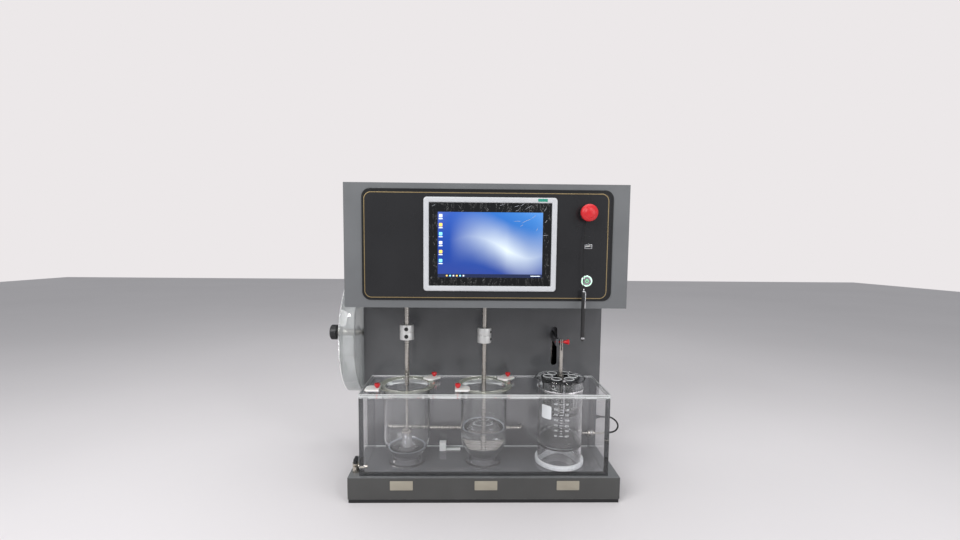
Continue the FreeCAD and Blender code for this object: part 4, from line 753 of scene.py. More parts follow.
def build_stylus():
    x, y, low = STYLUS_PLACE
    body = [(0, 0), (1.2, 0.25), (2.8, 1.3), (3.7, 3.2), (3.9, 5), (3.9, 5.2)]
    finished("stylus_tip", lathe(body + [(0, 5.2)], 0.2, 40), at(x, y, low), BLACK, "stylus")
    ring = [(0, 5.2), (4.6, 5.2), (4.6, 8.5), (0, 8.5)]
    finished("stylus_ring", lathe(ring, 0.3, 40), at(x, y, low), PLATED, "stylus")
    barrel = [(0, 8.5), (4.1, 8.5), (4.15, 60), (4.15, 104.4), (0, 104.4)]
    finished("stylus_barrel", lathe(barrel, 0.4, 48), at(x, y, low), BLACK, "stylus",
             ("stylus",))
    cap = [(0, 104.4), (4.0, 104.4), (3.6, 106.2), (1.4, 107.4), (1.2, 111.4), (0, 111.4)]
    finished("stylus_end", lathe(cap, 0.3, 40), at(x, y, low), PLATED, "stylus")
    clip = prism([(-1, 0), (1, 0), (1, 34), (-1, 34)], 4.3, 5.2, 0.2)
    foot = box_shape((-1, 1), (30, 34), (2.5, 4.4), 0.1)
    bead = lathe([(0, -0.3), (0.7, 0), (0.95, 1.2), (0.7, 2.4), (0, 2.7)], 0.2, 24)
    moved(bead, 0, 1.4, 2.6)
    finished("stylus_clip", joined(clip, foot, bead), at(204.8, y, low + 70.5, "-Y"), PLATED, "stylus")


def pattern(name, *inputs):
    """An empty geometry tree with its named inputs, and a helper that sets the material at the end."""
    tree = bpy.data.node_groups.new(name, "GeometryNodeTree")
    for label, kind, value in inputs:
        tree.interface.new_socket(label, in_out="INPUT", socket_type=kind).default_value = value
    tree.interface.new_socket("Material", in_out="INPUT", socket_type="NodeSocketMaterial")
    tree.interface.new_socket("Geometry", in_out="OUTPUT", socket_type="NodeSocketGeometry")
    given, out = tree.nodes.new("NodeGroupInput"), tree.nodes.new("NodeGroupOutput")

    def close(geometry):
        real = add(tree, "GeometryNodeRealizeInstances", [("Geometry", geometry)])
        dressed = add(tree, "GeometryNodeSetMaterial", [("Geometry", real.outputs[0]),
                                                        ("Material", given.outputs["Material"])])
        tree.links.new(out.inputs[0], dressed.outputs[0])
        return tree
    return tree, given.outputs, close


def grown(tree, material, **values):
    """The bmesh, in millimetres, that a geometry tree makes with these values."""
    host = bpy.data.objects.new("pattern host", bpy.data.meshes.new("pattern host"))
    scene.collection.objects.link(host)
    maker = host.modifiers.new("pattern", "NODES")
    maker.node_group = tree
    for socket in tree.interface.items_tree:
        if socket.in_out == "INPUT":
            value = material if socket.name == "Material" else values.get(socket.name.replace(" ", "_"))
            if value is not None:
                maker[socket.identifier] = value
    ready = host.evaluated_get(bpy.context.evaluated_depsgraph_get())
    mesh = bpy.data.meshes.new_from_object(ready)
    shape = bmesh.new()
    shape.from_mesh(mesh)
    bpy.data.meshes.remove(mesh)
    bpy.data.objects.remove(host)
    return shape


INT = "NodeSocketInt"


def placed_round(tree, line, turn, radius, height):
    """A line's points moved onto a circle by their turns, and those turns as rotations."""
    x = maths(tree, "MULTIPLY", maths(tree, "COSINE", turn), radius)
    y = maths(tree, "MULTIPLY", maths(tree, "SINE", turn), radius)
    spot = add(tree, "ShaderNodeCombineXYZ", [("X", x), ("Y", y), ("Z", height)])
    put = add(tree, "GeometryNodeSetPosition", [("Geometry", line.outputs[0]), ("Position", spot.outputs[0])])
    facing = add(tree, "ShaderNodeCombineXYZ", [("Z", turn)])
    return put.outputs[0], facing.outputs[0]


def turn_points(tree, count, radius, height):
    """Points round a circle, and the turn of each."""
    line = add(tree, "GeometryNodeMeshLine", [("Count", count)])
    index = tree.nodes.new("GeometryNodeInputIndex").outputs[0]
    turn = maths(tree, "MULTIPLY", maths(tree, "DIVIDE", index, count), math.tau)
    return placed_round(tree, line, turn, radius, height)


def height_span(tree, given):
    """How tall a pattern is, and its middle."""
    tall = maths(tree, "SUBTRACT", given["High"], given["Low"])
    return tall, maths(tree, "MULTIPLY", maths(tree, "ADD", given["High"], given["Low"]), 0.5)


def rib_tree():
    """Upright ribs round a knob."""
    tree, given, close = pattern("Knob ribs", ("Count", INT, 24), ("Radius", FLOAT, 6), ("Low", FLOAT, 0),
                                 ("High", FLOAT, 5), ("Width", FLOAT, 0.8), ("Depth", FLOAT, 0.8))
    tall, middle = height_span(tree, given)
    points, facing = turn_points(tree, given["Count"], given["Radius"], middle)
    size = add(tree, "ShaderNodeCombineXYZ", [("X", given["Depth"]), ("Y", given["Width"]), ("Z", tall)])
    rib = add(tree, "GeometryNodeMeshCube", [("Size", size.outputs[0])])
    ribs = add(tree, "GeometryNodeInstanceOnPoints", [("Points", points), ("Instance", rib.outputs[0]),
                                                      ("Rotation", facing)])
    return close(ribs.outputs[0])


def mesh_tree():
    """A cylinder of woven wire: uprights and hoops."""
    tree, given, close = pattern("Wire basket", ("Uprights", INT, 40), ("Hoops", INT, 17),
                                 ("Radius", FLOAT, 11), ("Low", FLOAT, 0), ("High", FLOAT, 37),
                                 ("Wire", FLOAT, 0.15))
    tall, middle = height_span(tree, given)
    points, facing = turn_points(tree, given["Uprights"], given["Radius"], middle)
    bar = add(tree, "GeometryNodeMeshCylinder", [("Radius", given["Wire"]), ("Depth", tall)], Vertices=6)
    bars = add(tree, "GeometryNodeInstanceOnPoints", [("Points", points), ("Instance", bar.outputs[0]),
                                                      ("Rotation", facing)])
    round_line = add(tree, "GeometryNodeCurvePrimitiveCircle", [("Radius", given["Radius"])], Resolution=72)
    section = add(tree, "GeometryNodeCurvePrimitiveCircle", [("Radius", given["Wire"])], Resolution=6)
    hoop = add(tree, "GeometryNodeCurveToMesh", [("Curve", round_line.outputs[0]),
                                                 ("Profile Curve", section.outputs[0])])
    start = add(tree, "ShaderNodeCombineXYZ", [("Z", given["Low"])])
    gap = maths(tree, "DIVIDE", tall, maths(tree, "SUBTRACT", given["Hoops"], 1))
    step = add(tree, "ShaderNodeCombineXYZ", [("Z", gap)])
    levels = add(tree, "GeometryNodeMeshLine", [("Count", given["Hoops"]),
                                                ("Start Location", start.outputs[0]),
                                                ("Offset", step.outputs[0])])
    hoops = add(tree, "GeometryNodeInstanceOnPoints", [("Points", levels.outputs[0]),
                                                       ("Instance", hoop.outputs[0])])
    both = tree.nodes.new("GeometryNodeJoinGeometry")
    tree.links.new(both.inputs[0], bars.outputs[0])
    tree.links.new(both.inputs[0], hoops.outputs[0])
    return close(both.outputs[0])


def tick_tree():
    """A column of flat printed ticks; each second one is longer."""
    tree, given, close = pattern("Scale ticks", ("Count", INT, 13), ("Pitch", FLOAT, 6.8),
                                 ("Length", FLOAT, 6), ("Width", FLOAT, 0.7), ("Thickness", FLOAT, 0.1))
    step = add(tree, "ShaderNodeCombineXYZ", [("Y", given["Pitch"])])
    line = add(tree, "GeometryNodeMeshLine", [("Count", given["Count"]), ("Offset", step.outputs[0])])
    size = add(tree, "ShaderNodeCombineXYZ", [("X", given["Length"]), ("Y", given["Width"]),
                                              ("Z", given["Thickness"])])
    tick = add(tree, "GeometryNodeMeshCube", [("Size", size.outputs[0])], Vertices_X=9)
    index = tree.nodes.new("GeometryNodeInputIndex").outputs[0]
    long = spread(tree, maths(tree, "MODULO", index, 2), 1.0, 0.6)
    scale = add(tree, "ShaderNodeCombineXYZ", [("X", long)], Y=1.0, Z=1.0)
    ticks = add(tree, "GeometryNodeInstanceOnPoints", [("Points", line.outputs[0]),
                                                       ("Instance", tick.outputs[0]),
                                                       ("Scale", scale.outputs[0])])
    return close(ticks.outputs[0])


def screw_tree():
    """Round screw heads on a grid's points."""
    tree, given, close = pattern("Screw heads", ("Across", INT, 2), ("Up", INT, 3), ("Width", FLOAT, 500),
                                 ("Height", FLOAT, 200), ("Radius", FLOAT, 3.2), ("Rise", FLOAT, 1.4))
    grid = add(tree, "GeometryNodeMeshGrid", [("Size X", given["Width"]), ("Size Y", given["Height"]),
                                              ("Vertices X", given["Across"]), ("Vertices Y", given["Up"])])
    head = add(tree, "GeometryNodeMeshCone", [("Radius Bottom", given["Radius"]), ("Depth", given["Rise"])],
               Vertices=24)
    tree.links.new(head.inputs["Radius Top"], maths(tree, "MULTIPLY", given["Radius"], 0.78))
    heads = add(tree, "GeometryNodeInstanceOnPoints", [("Points", grid.outputs[0]),
                                                       ("Instance", head.outputs[0])])
    return close(heads.outputs[0])


def drop_tree():
    """Water drops that cling to the inside of a glass wall."""
    tree, given, close = pattern("Clinging drops", ("Count", INT, 150), ("Radius", FLOAT, 50.4),
                                 ("Low", FLOAT, 80), ("High", FLOAT, 165), ("Smallest", FLOAT, 0.5),
                                 ("Largest", FLOAT, 1.5), ("Seed", INT, 4))
    line = add(tree, "GeometryNodeMeshLine", [("Count", given["Count"])])

    def chance(low, high, shift):
        node = add(tree, "FunctionNodeRandomValue", data_type="FLOAT")
        for name, value in (("Min", low), ("Max", high)):
            socket = [one for one in node.inputs if one.name == name and one.type == "VALUE"][0]
            if isinstance(value, (int, float)):
                socket.default_value = value
            else:
                tree.links.new(socket, value)
        tree.links.new(node.inputs["Seed"], maths(tree, "ADD", given["Seed"], shift))
        return [one for one in node.outputs if one.type == "VALUE"][0]
    turn = chance(0.0, math.tau, 0)
    height = chance(given["Low"], given["High"], 17)
    points, facing = placed_round(tree, line, turn, given["Radius"], height)
    drop = add(tree, "GeometryNodeMeshIcoSphere", Radius=1.0, Subdivisions=3)
    grow = chance(given["Smallest"], given["Largest"], 31)
    flat = add(tree, "ShaderNodeCombineXYZ", [("X", maths(tree, "MULTIPLY", grow, 0.5)), ("Y", grow),
                                              ("Z", maths(tree, "MULTIPLY", grow, 1.15))])
    drops = add(tree, "GeometryNodeInstanceOnPoints", [("Points", points), ("Instance", drop.outputs[0]),
                                                       ("Rotation", facing), ("Scale", flat.outputs[0])])
    return close(drops.outputs[0])


RIBS, WIRE_MESH, TICKS, SCREWS, DROPS = rib_tree(), mesh_tree(), tick_tree(), screw_tree(), drop_tree()


def wrapped(shape, radius, heading):
    """Lays a flat shape (x along, y up, z out) on an upright cylinder; heading is in degrees."""
    for vertex in shape.verts:
        x, y, z = vertex.co
        turn = math.radians(heading) + x / radius
        vertex.co = ((radius + z) * math.cos(turn), (radius + z) * math.sin(turn), y)
    return shape


def lettering(words, size, place=(0, 0)):
    """Flat letters in millimetres, about their own middle."""
    curve = bpy.data.curves.new("lettering", "FONT")
    curve.body = words
    curve.size = size
    curve.extrude = 0.05
    curve.align_x = "CENTER"
    curve.align_y = "CENTER"
    holder = bpy.data.objects.new("lettering", curve)
    scene.collection.objects.link(holder)
    ready = holder.evaluated_get(bpy.context.evaluated_depsgraph_get())
    mesh = bpy.data.meshes.new_from_object(ready)
    shape = bmesh.new()
    shape.from_mesh(mesh)
    bmesh.ops.translate(shape, vec=(*place, 0), verts=shape.verts)
    bpy.data.objects.remove(holder)
    bpy.data.curves.remove(curve)
    bpy.data.meshes.remove(mesh)
    return shape


def arc_points(radius, centre_z, low, high, steps):
    """Points of a half circle's part, by the turn from straight down, in degrees."""
    return [(radius * math.sin(math.radians(low + (high - low) * k / steps)),
             centre_z - radius * math.cos(math.radians(low + (high - low) * k / steps)))
            for k in range(steps + 1)]


def face_choice(test):
    """Picks the second material where the test of the face's middle (mm) and normal is true."""
    return lambda face: int(bool(test(face.calc_center_median() / MM, face.normal)))


def raised_low(piece, level, lift=0.05):
    """Lifts a piece's lowest face off what it stands on by a film of air."""
    for vertex in piece.data.vertices:
        if abs(vertex.co.z - level * MM) < 1e-5:
            vertex.co.z += lift * MM


def build_bath():
    eased_node("bath_tank", [ACRYLIC, ACRYLIC_EDGE], "case", 0.5,
               pick=face_choice(lambda spot, normal: spot.z > 232))
    lid = eased_node("bath_lid", [ACRYLIC, ACRYLIC_EDGE], "bath_cover", 0.5,
                     pick=face_choice(lambda spot, normal: abs(spot.x) > 274 or not -171 < spot.y < -22.6))
    raised_low(lid, 232.7)
    # Thin near-white strips on the lid's front and side edges: painted highlights.
    glint_strips = [box_shape((-274.8, 274.8), (-171.26, -171.16), (z, z + 1.3), 0) for z in (236.0, 240.6)]
    glint_strips += [box_shape((x - 0.05, x + 0.05), (-170.6, -22.8), (234.4, 242.2), 0) for x in (-275.5, 275.5)]
    finished("bath_lid_polish", joined(*glint_strips), at(0, 0, 0), GLINT_STRIP, "bath_cover")
    back = box_shape((-274.8, 274.8), (-22.34, -22.24), (239.2, 242.4), 0)
    finished("bath_lid_back_line", back, at(0, 0, 0), WHITE_PRINT, "bath_cover")
    # A near-white strip along the back wall's joint with the floor: painted highlight.
    bead = box_shape((-266, 266), (-31.5, -31.3), (64.8, 67.4), 0)
    finished("tank_joint_line", bead, at(0, 0, 0), GLINT_STRIP, "case")
    for index, (name, x) in enumerate((("left", LEFT), ("middle", MIDDLE))):
        ring = [(29, 0.05), (42, 0.05), (42, 2.5), (33, 2.5), (33, 14.8), (29, 14.8)]
        finished("vessel_ring_" + name, lathe(ring, 0.4), at(x, STATION_Y, TANK_FLOOR), ACRYLIC, "case",
                 () if index else ("vessel_stands",))
    stand = lathe([(0, 41.2), (45.5, 41.2), (45.5, 10), (50.5, 10), (50.5, 47.1), (0, 47.1)], 0.5)
    finished("beaker_stand", stand, at(RIGHT, STATION_Y, TANK_FLOOR), ACRYLIC, "case")
    flange = lathe([(45.5, 0.05), (56, 0.05), (56, 9.95), (45.5, 9.95)], 0.6)
    finished("beaker_stand_flange", flange, at(RIGHT, STATION_Y, TANK_FLOOR), FROSTED, "case")


def vessel_shape():
    outer = arc_points(VESSEL_RADIUS, VESSEL_RADIUS, 0, 90, 28)
    inner = arc_points(VESSEL_BORE, VESSEL_RADIUS, 90, 0, 28)
    rim = [(53, 170.2), (53.4, 170.7), (63.8, 170.7), (64.6, 171.6), (64.6, 174.4), (63.8, 175.2),
           (54.6, 175.2), (52.4, 174.5), (51, 173), (50.5, 170.5)]
    return lathe(outer + rim + inner, 0)


def build_vessels():
    for name, x, water in (("left", LEFT, 28), ("middle", MIDDLE, 74)):
        shape = vessel_shape()
        for face in shape.faces:
            face.material_index = int(face.calc_center_median().z > 170.4)
        shape.transform(Matrix.Translation((0, 0, 0.05)))
        finished("vessel_%s_glass" % name, shape, at(x, STATION_Y, VESSEL_LOW), (GLASS, RIM_GLASS),
                 "bath_cover", ("vessel_" + name,))
        above_bowl = water > VESSEL_RADIUS
        turn = 90 if above_bowl else math.degrees(math.acos((VESSEL_RADIUS - water) / WATER_RADIUS))
        skin = arc_points(WATER_RADIUS, VESSEL_RADIUS, 0, turn, 24)
        reach = skin[-1][0]
        if above_bowl:
            skin.append((WATER_RADIUS, water - 0.5))
        skin += [(reach, water + 1.3), (reach - 0.7, water + 0.6), (reach - 1.8, water + 0.15),
                 (reach - 3.5, water), (0, water)]
        finished("water_" + name, lathe(skin, 0), at(x, STATION_Y, VESSEL_LOW), WATER, "bath_cover")
        # A pale ring where the meniscus climbs the glass: painted glint.
        glint_ring = [(reach - 0.15, water + 1.7), (reach - 0.05, water + 1.5), (reach - 1.6, water + 0.5),
                     (reach - 4.2, water + 0.3), (reach - 4.2, water + 0.2), (reach - 1.8, water + 0.35)]
        finished("waterline_" + name, lathe(glint_ring, 0), at(x, STATION_Y, VESSEL_LOW), GLINT_WHITE,
                 "bath_cover")
    drops = grown(DROPS, WATER, Count=230, Radius=50.4, Low=80.0, High=160.0, Smallest=0.55, Largest=1.6,
                  Seed=4)
    finished("drops_middle", drops, at(MIDDLE, STATION_Y, VESSEL_LOW), WATER, "bath_cover")


def clip_spot(x, end):
    """Where a clip's screw stands on the lid."""
    turn = math.radians(CLIP_ANGLES[end])
    return Vector((x + CLIP_DISTANCE * math.cos(turn), STATION_Y + CLIP_DISTANCE * math.sin(turn), LID_TOP))


def ribbed_screw(profile, low, high):
    """A red thumb screw with ribs round its head."""
    ribs = grown(RIBS, SCREW_RED, Count=22, Radius=5.55, Low=low, High=high, Width=0.85, Depth=0.9)
    return joined(lathe(profile, 0.3, 48), ribs)


def build_clips():
    for side, x, front_turn in (("left", LEFT, 0), ("middle", MIDDLE, 180)):
        for end, lip_turn in (("front", front_turn), ("back", 45)):
            spot = clip_spot(x, end)
            turn = math.radians(lip_turn)
            node = "vessel_clip_%s_%s" % (side, end)
            piece = eased_node(node, [WHITE, CLIP_LAYER], "clip_%s_%s" % (side, end), 0.5,
                               pick=face_choice(lambda spot, normal: spot.z < 247.4))
            away = Vector((math.cos(turn), math.sin(turn), 0))
            for vertex in piece.data.vertices:
                reach = (vertex.co / MM - spot).dot(away)
                if reach < -20 and vertex.co.z > 251 * MM:
                    vertex.co += away * 1.6 * MM
    head = [(0, -8.5), (2, -8.5), (2, 8.9), (3, 8.9), (5.7, 13.4), (5.7, 18.1), (4.9, 18.4), (0, 18.4)]
    heads = []
    for x in (LEFT, MIDDLE):
        for end in CLIP_ANGLES:
            heads.append(moved(ribbed_screw(head, 13.2, 18.0), *clip_spot(x, end)))
    finished("clip_thumb_screws_finished", joined(*heads), at(0, 0, 0), SCREW_RED, "bath_cover",
             ("clip_thumb_screws",))


def build_fittings():
    wear_material(CROSS_STEEL, "heater_tube")
    wear_material(CROSS_STEEL, "temperature_probe")
    eased_node("circulation_nozzle", WHITE, "case", 0.8)
    wear_material(BLACK, "circulation_pump", "cable_grommet")
    eased_node("drain_valve", NICKEL, "case", 0.4)
    eased_node("drain_lever", BLACK, "drain_lever", 0.8, segments=3)
    eased_node("mains_inlet", BLACK, "case", 0.4)
    nut = prism(round_spots(6, 8), 0.2, 4.5, 0.4)
    finished("probe_nut", nut, at(275.5, -42.3, 104, "X"), PLATED, "case")
    cover = joined(grown(SCREWS, PLATED, Across=5, Up=2, Width=560.0, Height=232.0),
                   grown(SCREWS, PLATED, Across=2, Up=2, Width=560.0, Height=77.0))
    finished("cover_screws", cover, at(0, 180.6, 564, "Y"), PLATED, "case")


def set_screws(heading, wide):
    """Two black socket screws in a coupling's side."""
    shapes = []
    for z in (8.6, 25.4):
        profile = [(0, -3.5), (wide, -3.5), (wide, 0), (wide * 0.88, 0.2), (0, 0.2)]
        screw = lathe(profile, 0.15, 32)
        place = Matrix.Translation((COUPLING_SIDE, 0, z)) @ TURNS["X"]
        screw.transform(Matrix.Rotation(math.radians(heading), 4, "Z") @ place)
        shapes.append(screw)
    return joined(*shapes)


def build_stirrers():
    wear_material(STEEL, "basket_spindle", "paddle_spindle")
    for name, x, low, heading, wide in (("basket", LEFT, 351, -88, 4.6),
                                        ("paddle", MIDDLE, 344.5, -28, 3.2)):
        ring = [(5.05, 0), (16, 0), (16, 16.5), (14.5, 16.5), (14.5, 17.5), (16, 17.5), (16, 34), (5.05, 34)]
        finished(name + "_coupling_finished", lathe(ring, 0.8), at(x, STATION_Y, low), MATTE_METAL,
                 name + "_drive", (name + "_coupling",))
        finished(name + "_set_screws", set_screws(heading, wide), at(x, STATION_Y, low), SCREW_BLACK,
                 name + "_drive")
    rod = [(0, 133), (12.5, 133), (12.5, 138), (8, 138.6), (3, 140), (3, 243), (5, 246.5), (5, 366.5),
           (0, 366.5)]
    finished("basket_shaft_finished", lathe(rod, 0.4), at(LEFT, STATION_Y, 0), STEEL, "basket_drive",
             ("basket_shaft",))
    low_rim = lathe([(10.2, 0), (11.1, 0), (11.1, 2.6), (10.2, 2.6)], 0.25)
    high_rim = lathe([(10.2, 33.6), (11.1, 33.6), (11.1, 36.95), (10.2, 36.95)], 0.25)
    weave = grown(WIRE_MESH, PLATED, Uprights=44, Hoops=22, Radius=10.7, Low=1.5, High=35.0, Wire=0.24)
    floor = []
    for index in range(13):
        wire = box_shape((-10.4, 10.4), (-0.14, 0.14), (0.4, 0.7), 0)
        offset = 1.6 * (index - 6)
        half = math.sqrt(max(10.6 ** 2 - offset ** 2, 1))
        for vertex in wire.verts:
            vertex.co.x = math.copysign(half, vertex.co.x)
        wire.transform(Matrix.Translation((0, offset, 0)))
        floor.append(wire)
        across = wire.copy()
        across.transform(Matrix.Rotation(math.pi / 2, 4, "Z"))
        floor.append(across)
    finished("dissolution_basket_finished", joined(low_rim, high_rim, weave, *floor),
             at(LEFT, STATION_Y, 96), PLATED, "basket_drive", ("dissolution_basket",))
    catches = []
    for step in range(3):
        turn = math.tau * step / 3 + 0.4
        catch = box_shape((-1.2, 1.2), (-0.5, 0.5), (-7, 3.6), 0.2)
        catch.transform(Matrix.Rotation(turn, 4, "Z") @ Matrix.Translation((0, -11.9, 0)))
        catches.append(catch)
    finished("basket_catches", joined(*catches), at(LEFT, STATION_Y, 134), STEEL, "basket_drive")
    eased_node("paddle_shaft", STEEL, "paddle_drive", 0.5)


def spout(shape):
    """Draws a beaker's rim out to the left."""
    neck = 143.5
    for vertex in shape.verts:
        x, y, z = vertex.co
        if z > neck and x < 0:
            lean = math.exp(-((math.atan2(y, -x) / 0.2) ** 2)) * min((z - neck) / 8, 1)
            vertex.co.x -= 4.0 * lean
            vertex.co.z -= 1.2 * lean
    return shape


def build_beaker():
    place = (RIGHT, STATION_Y, BEAKER_LOW)
    glass = lathe([(0, 0), (46, 0), (50.2, 1.4), (52, 5.2), (52, 143.5), (52.8, 146.5), (54.4, 149),
                   (56.4, 150.6), (57, 151.3), (56.6, 152), (55.2, 151.9), (53.2, 150.4), (51.2, 147.6),
                   (49.8, 143.5), (49.8, 6), (48.4, 3.2), (45, 2.2), (0, 2.2)], 0)
    finished("beaker_glass", spout(glass), at(*place), GLASS, "beaker", ("beaker",))
    water = [(0, 1.95), (45, 1.95), (48.6, 3.0), (50.05, 6), (50.05, 18.4), (49.2, 17.6), (47.8, 17.1),
             (46, 17), (0, 17)]
    finished("water_beaker", lathe(water, 0), at(*place), WATER, "beaker")
    marks = [moved(grown(TICKS, WHITE_PRINT, Count=7, Pitch=SCALE_PITCH, Length=length, Width=width), 0, low)
             for length, width, low in ((9.0, 0.9, SCALE_LOW), (5.0, 0.8, 37.75))]
    for row in range(7):
        level = SCALE_LOW + SCALE_PITCH * row
        marks.append(lettering(str(50 + 100 * row), 6.0, (-12.4, level)))
        marks.append(lettering(str(650 - 100 * row), 6.0, (12.4, level)))
    scale = wrapped(joined(*marks), BEAKER_PRINT_RADIUS, -98)
    finished("beaker_scale", scale, at(*place), WHITE_PRINT, "beaker", angle=60)
    grid = prism(rounded_outline(27, 31, 4, 5), 0, 0.08, 0)
    bmesh.ops.triangulate(grid, faces=grid.faces)
    bmesh.ops.subdivide_edges(grid, edges=[e for e in grid.edges if e.calc_length() > 3], cuts=5,
                              use_grid_fill=True)
    patch = wrapped(moved(grid, 0, 82), BEAKER_PRINT_RADIUS, -138)
    finished("beaker_patch", patch, at(*place), WHITE_PRINT, "beaker", angle=60)


def build_rack():
    eased_node("rack_plates", [RACK_BLACK, PLATED], "lift", 0.4,
               pick=face_choice(lambda spot, normal: spot.z > 264.2 or 190.3 < spot.z < 257.7))
    spots = round_spots(6, TUBE_CIRCLE)
    tubes = [moved(lathe([(10.4, 0), (11.9, 0), (11.9, 80), (10.4, 80)], 0.7, 64), *spot) for spot in spots]
    finished("rack_tubes_glass", joined(*tubes), at(RIGHT, STATION_Y, TUBES_LOW), GLASS, "lift",
             ("rack_tubes",))
    rims = [moved(lathe([(9.9, 79.4), (11.8, 79.4), (11.8, 80.6), (9.9, 80.6)], 0.3, 48), *spot)
            for spot in spots]
    finished("rack_tube_rims", joined(*rims), at(RIGHT, STATION_Y, TUBES_LOW), FROSTED, "lift")
    eased_node("rack_hanger", STEEL, "lift", 0.3)
    eased_node("lift_carriage", [ARM_GREY, RAW_ALUMINIUM], "lift", 0.6,
               pick=face_choice(lambda spot, normal: spot.z < 328))
    pin = [(0, -20), (2, -20), (2, 0), (3, 0), (5.7, 10), (5.7, 11.6), (4.8, 12), (0, 12)]
    finished("lift_thumb_screw_finished", ribbed_screw(pin, 9.4, 11.5), at(184, STATION_Y, 346, "X"),
             SCREW_RED, "lift_knob", ("lift_thumb_screw",))


def build_drum():
    cup = [(9.05, 39), (152, 39), (152, 3.05), (149, 3.05), (149, 36), (9.05, 36)]
    shell = lathe(cup, 0.8, DRUM_STEPS)
    outer, inner = [], []
    bend = 80.5
    for step in range(25):
        turn = math.radians(-178 + 112 * step / 24)
        outer.append((bend + (bend + 1.5) * math.cos(turn), (bend + 1.5) * math.sin(turn)))
        inner.append((bend + (bend - 1.5) * math.cos(turn), (bend - 1.5) * math.sin(turn)))
    sides = [[spot for spot in side if 12.6 < math.hypot(*spot) < 149.6] for side in (outer, inner)]
    vane = prism(sides[0] + sides[1][::-1], 3.2, 36.2, 0.4)
    vane.transform(Matrix.Rotation(math.pi / 2, 4, "Z"))
    whole = joined(shell, vane)
    for face in whole.faces:
        spot = face.calc_center_median()
        face.material_index = int(math.hypot(spot.x, spot.y) > 148.5 or spot.z > 35.9)
    finished("drum_shell_finished", whole, at(*DRUM_PLACE, "X"), (DRUM_CLEAR, DRUM_MILKY), "drum",
             ("drum_shell",))
    face = [(9.05, 0), (152, 0), (152, 2.95), (9.05, 2.95)]
    finished("drum_cover_finished", lathe(face, 0.8, DRUM_STEPS), at(*DRUM_PLACE, "X"), DRUM_CLEAR, "drum",
             ("drum_cover",))
    wear_material(CROSS_STEEL, "drum_shaft")
    knob = [(0, 15), (5.05, 15), (5.05, 0), (16.6, 0), (19.2, 2.4), (19.2, 16.4), (16.4, 18.9), (0, 19)]
    ribs = grown(RIBS, BLACK, Count=30, Radius=19.1, Low=3.0, High=15.8, Width=2.2, Depth=1.2)
    finished("drum_knob_finished", joined(lathe(knob, 0.4, 72), ribs), at(-381.3, DRUM_Y, DRUM_Z, "-X"),
             BLACK, "drum_knob", ("drum_knob",))


def build_inside():
    wear_material(RAW_ALUMINIUM, "spindle_bearings", "motor_pulley", "lift_frame")
    wear_material(MOTOR_BLACK, "stepper_motors", "friability_motor")
    wear_material(BOARD_GREEN, "electronics")
    wear_material(BELT_BLACK, "timing_belt")
    wear_material(STEEL, "lift_screw")


def cord_curve(name, points, thick, body, node, material):
    """A round cord through its control points, in metres."""
    curve = bpy.data.curves.new(name, "CURVE")
    curve.dimensions = "3D"
    curve.bevel_depth = thick / 2
    curve.bevel_resolution = 6
    curve.resolution_u = 24
    curve.use_fill_caps = True
    line = curve.splines.new("NURBS")
    line.points.add(len(points) - 1)
    for spot, place in zip(line.points, points):
        spot.co = (*place, 1)
    line.order_u = 3
    line.use_endpoint_u = True
    curve.materials.append(material)
    piece = bpy.data.objects.new(name, curve)
    scene.collection.objects.link(piece)
    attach(piece, body)
    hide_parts(node)
    return piece


def build_cords():
    tether = cord_curve("stylus_tether_cord",
                        [(0.206, -0.188, 0.623), (0.2034, -0.1892, 0.6), (0.2007, -0.1946, 0.571),
                         (0.1993, -0.1976, 0.54), (0.2004, -0.1981, 0.509), (0.2026, -0.198, 0.478)],
                        0.0012, "tether", "stylus_tether", CORD_WEAVE)
    cable = cord_curve("probe_cable_loop",
                       [(0.309, -0.0423, 0.104), (0.3255, -0.0423, 0.104), (0.34, -0.0346, 0.109),
                        (0.3465, -0.0227, 0.117), (0.3415, -0.0102, 0.1255), (0.3265, -0.002, 0.131),
                        (0.309, -0.002, 0.131)],
                       0.004, "case", "probe_cable", RUBBER)


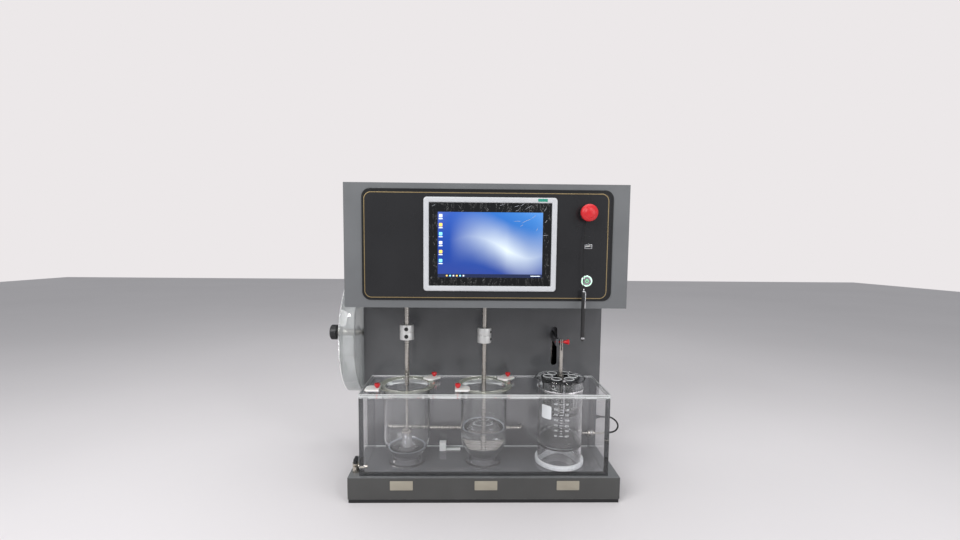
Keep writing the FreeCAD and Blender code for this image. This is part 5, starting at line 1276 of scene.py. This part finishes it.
def area_lamp(name, place, aim, power, width, height):
    light = bpy.data.lights.new(name, "AREA")
    light.shape = "RECTANGLE"
    light.size, light.size_y = width, height
    light.energy = power
    lamp = bpy.data.objects.new(name, light)
    scene.collection.objects.link(lamp)
    lamp.matrix_world = (Matrix.Translation(place)
                         @ (Vector(aim) - Vector(place)).to_track_quat("-Z", "Y").to_matrix().to_4x4())


def build_stage():
    floor_mesh = bpy.data.meshes.new("stage_floor")
    shape = bmesh.new()
    bmesh.ops.create_grid(shape, x_segments=1, y_segments=1, size=7)
    shape.to_mesh(floor_mesh)
    shape.free()
    floor_mesh.materials.append(surface("stage_floor", linear(226, 222, 223), linear(222, 218, 219),
                                        (0.6, 0.7), 20.0, broad=1.0))
    floor = bpy.data.objects.new("stage_floor", floor_mesh)
    scene.collection.objects.link(floor)
    world = bpy.data.worlds.new("stage_light")
    scene.world = world
    world.use_nodes = True
    tree = world.node_tree
    soft = tree.nodes["Background"]
    soft.inputs["Color"].default_value = linear(236, 238, 242)
    soft.inputs["Strength"].default_value = 0.5
    seen = add(tree, "ShaderNodeBackground", Color=linear(236, 232, 233), Strength=1.0)
    path = tree.nodes.new("ShaderNodeLightPath")
    looks = maths(tree, "MAXIMUM", path.outputs["Is Camera Ray"], path.outputs["Is Transmission Ray"])
    pass_between(tree, looks, soft, seen, "World Output")
    area_lamp("key", (-1.5, -1.7, 1.7), (0, -0.1, 0.35), 31, 1.2, 1.2)
    area_lamp("fill", (1.7, -1.5, 0.9), (0, 0, 0.3), 14, 1.4, 1.4)
    area_lamp("top", (0, 0.1, 2.0), (0, 0, 0.3), 14, 1.8, 1.2)
    area_lamp("spark_left", (-0.75, -1.7, 1.9), (0, -0.1, 0.2), 6, 0.22, 0.22)
    area_lamp("spark_right", (0.8, -1.5, 1.6), (0, -0.1, 0.2), 5, 0.22, 0.22)


build_case()
build_screen()
build_controls()
build_stylus()
build_bath()
build_vessels()
build_clips()
build_fittings()
build_stirrers()
build_beaker()
build_rack()
build_drum()
build_inside()
build_cords()
build_stage()
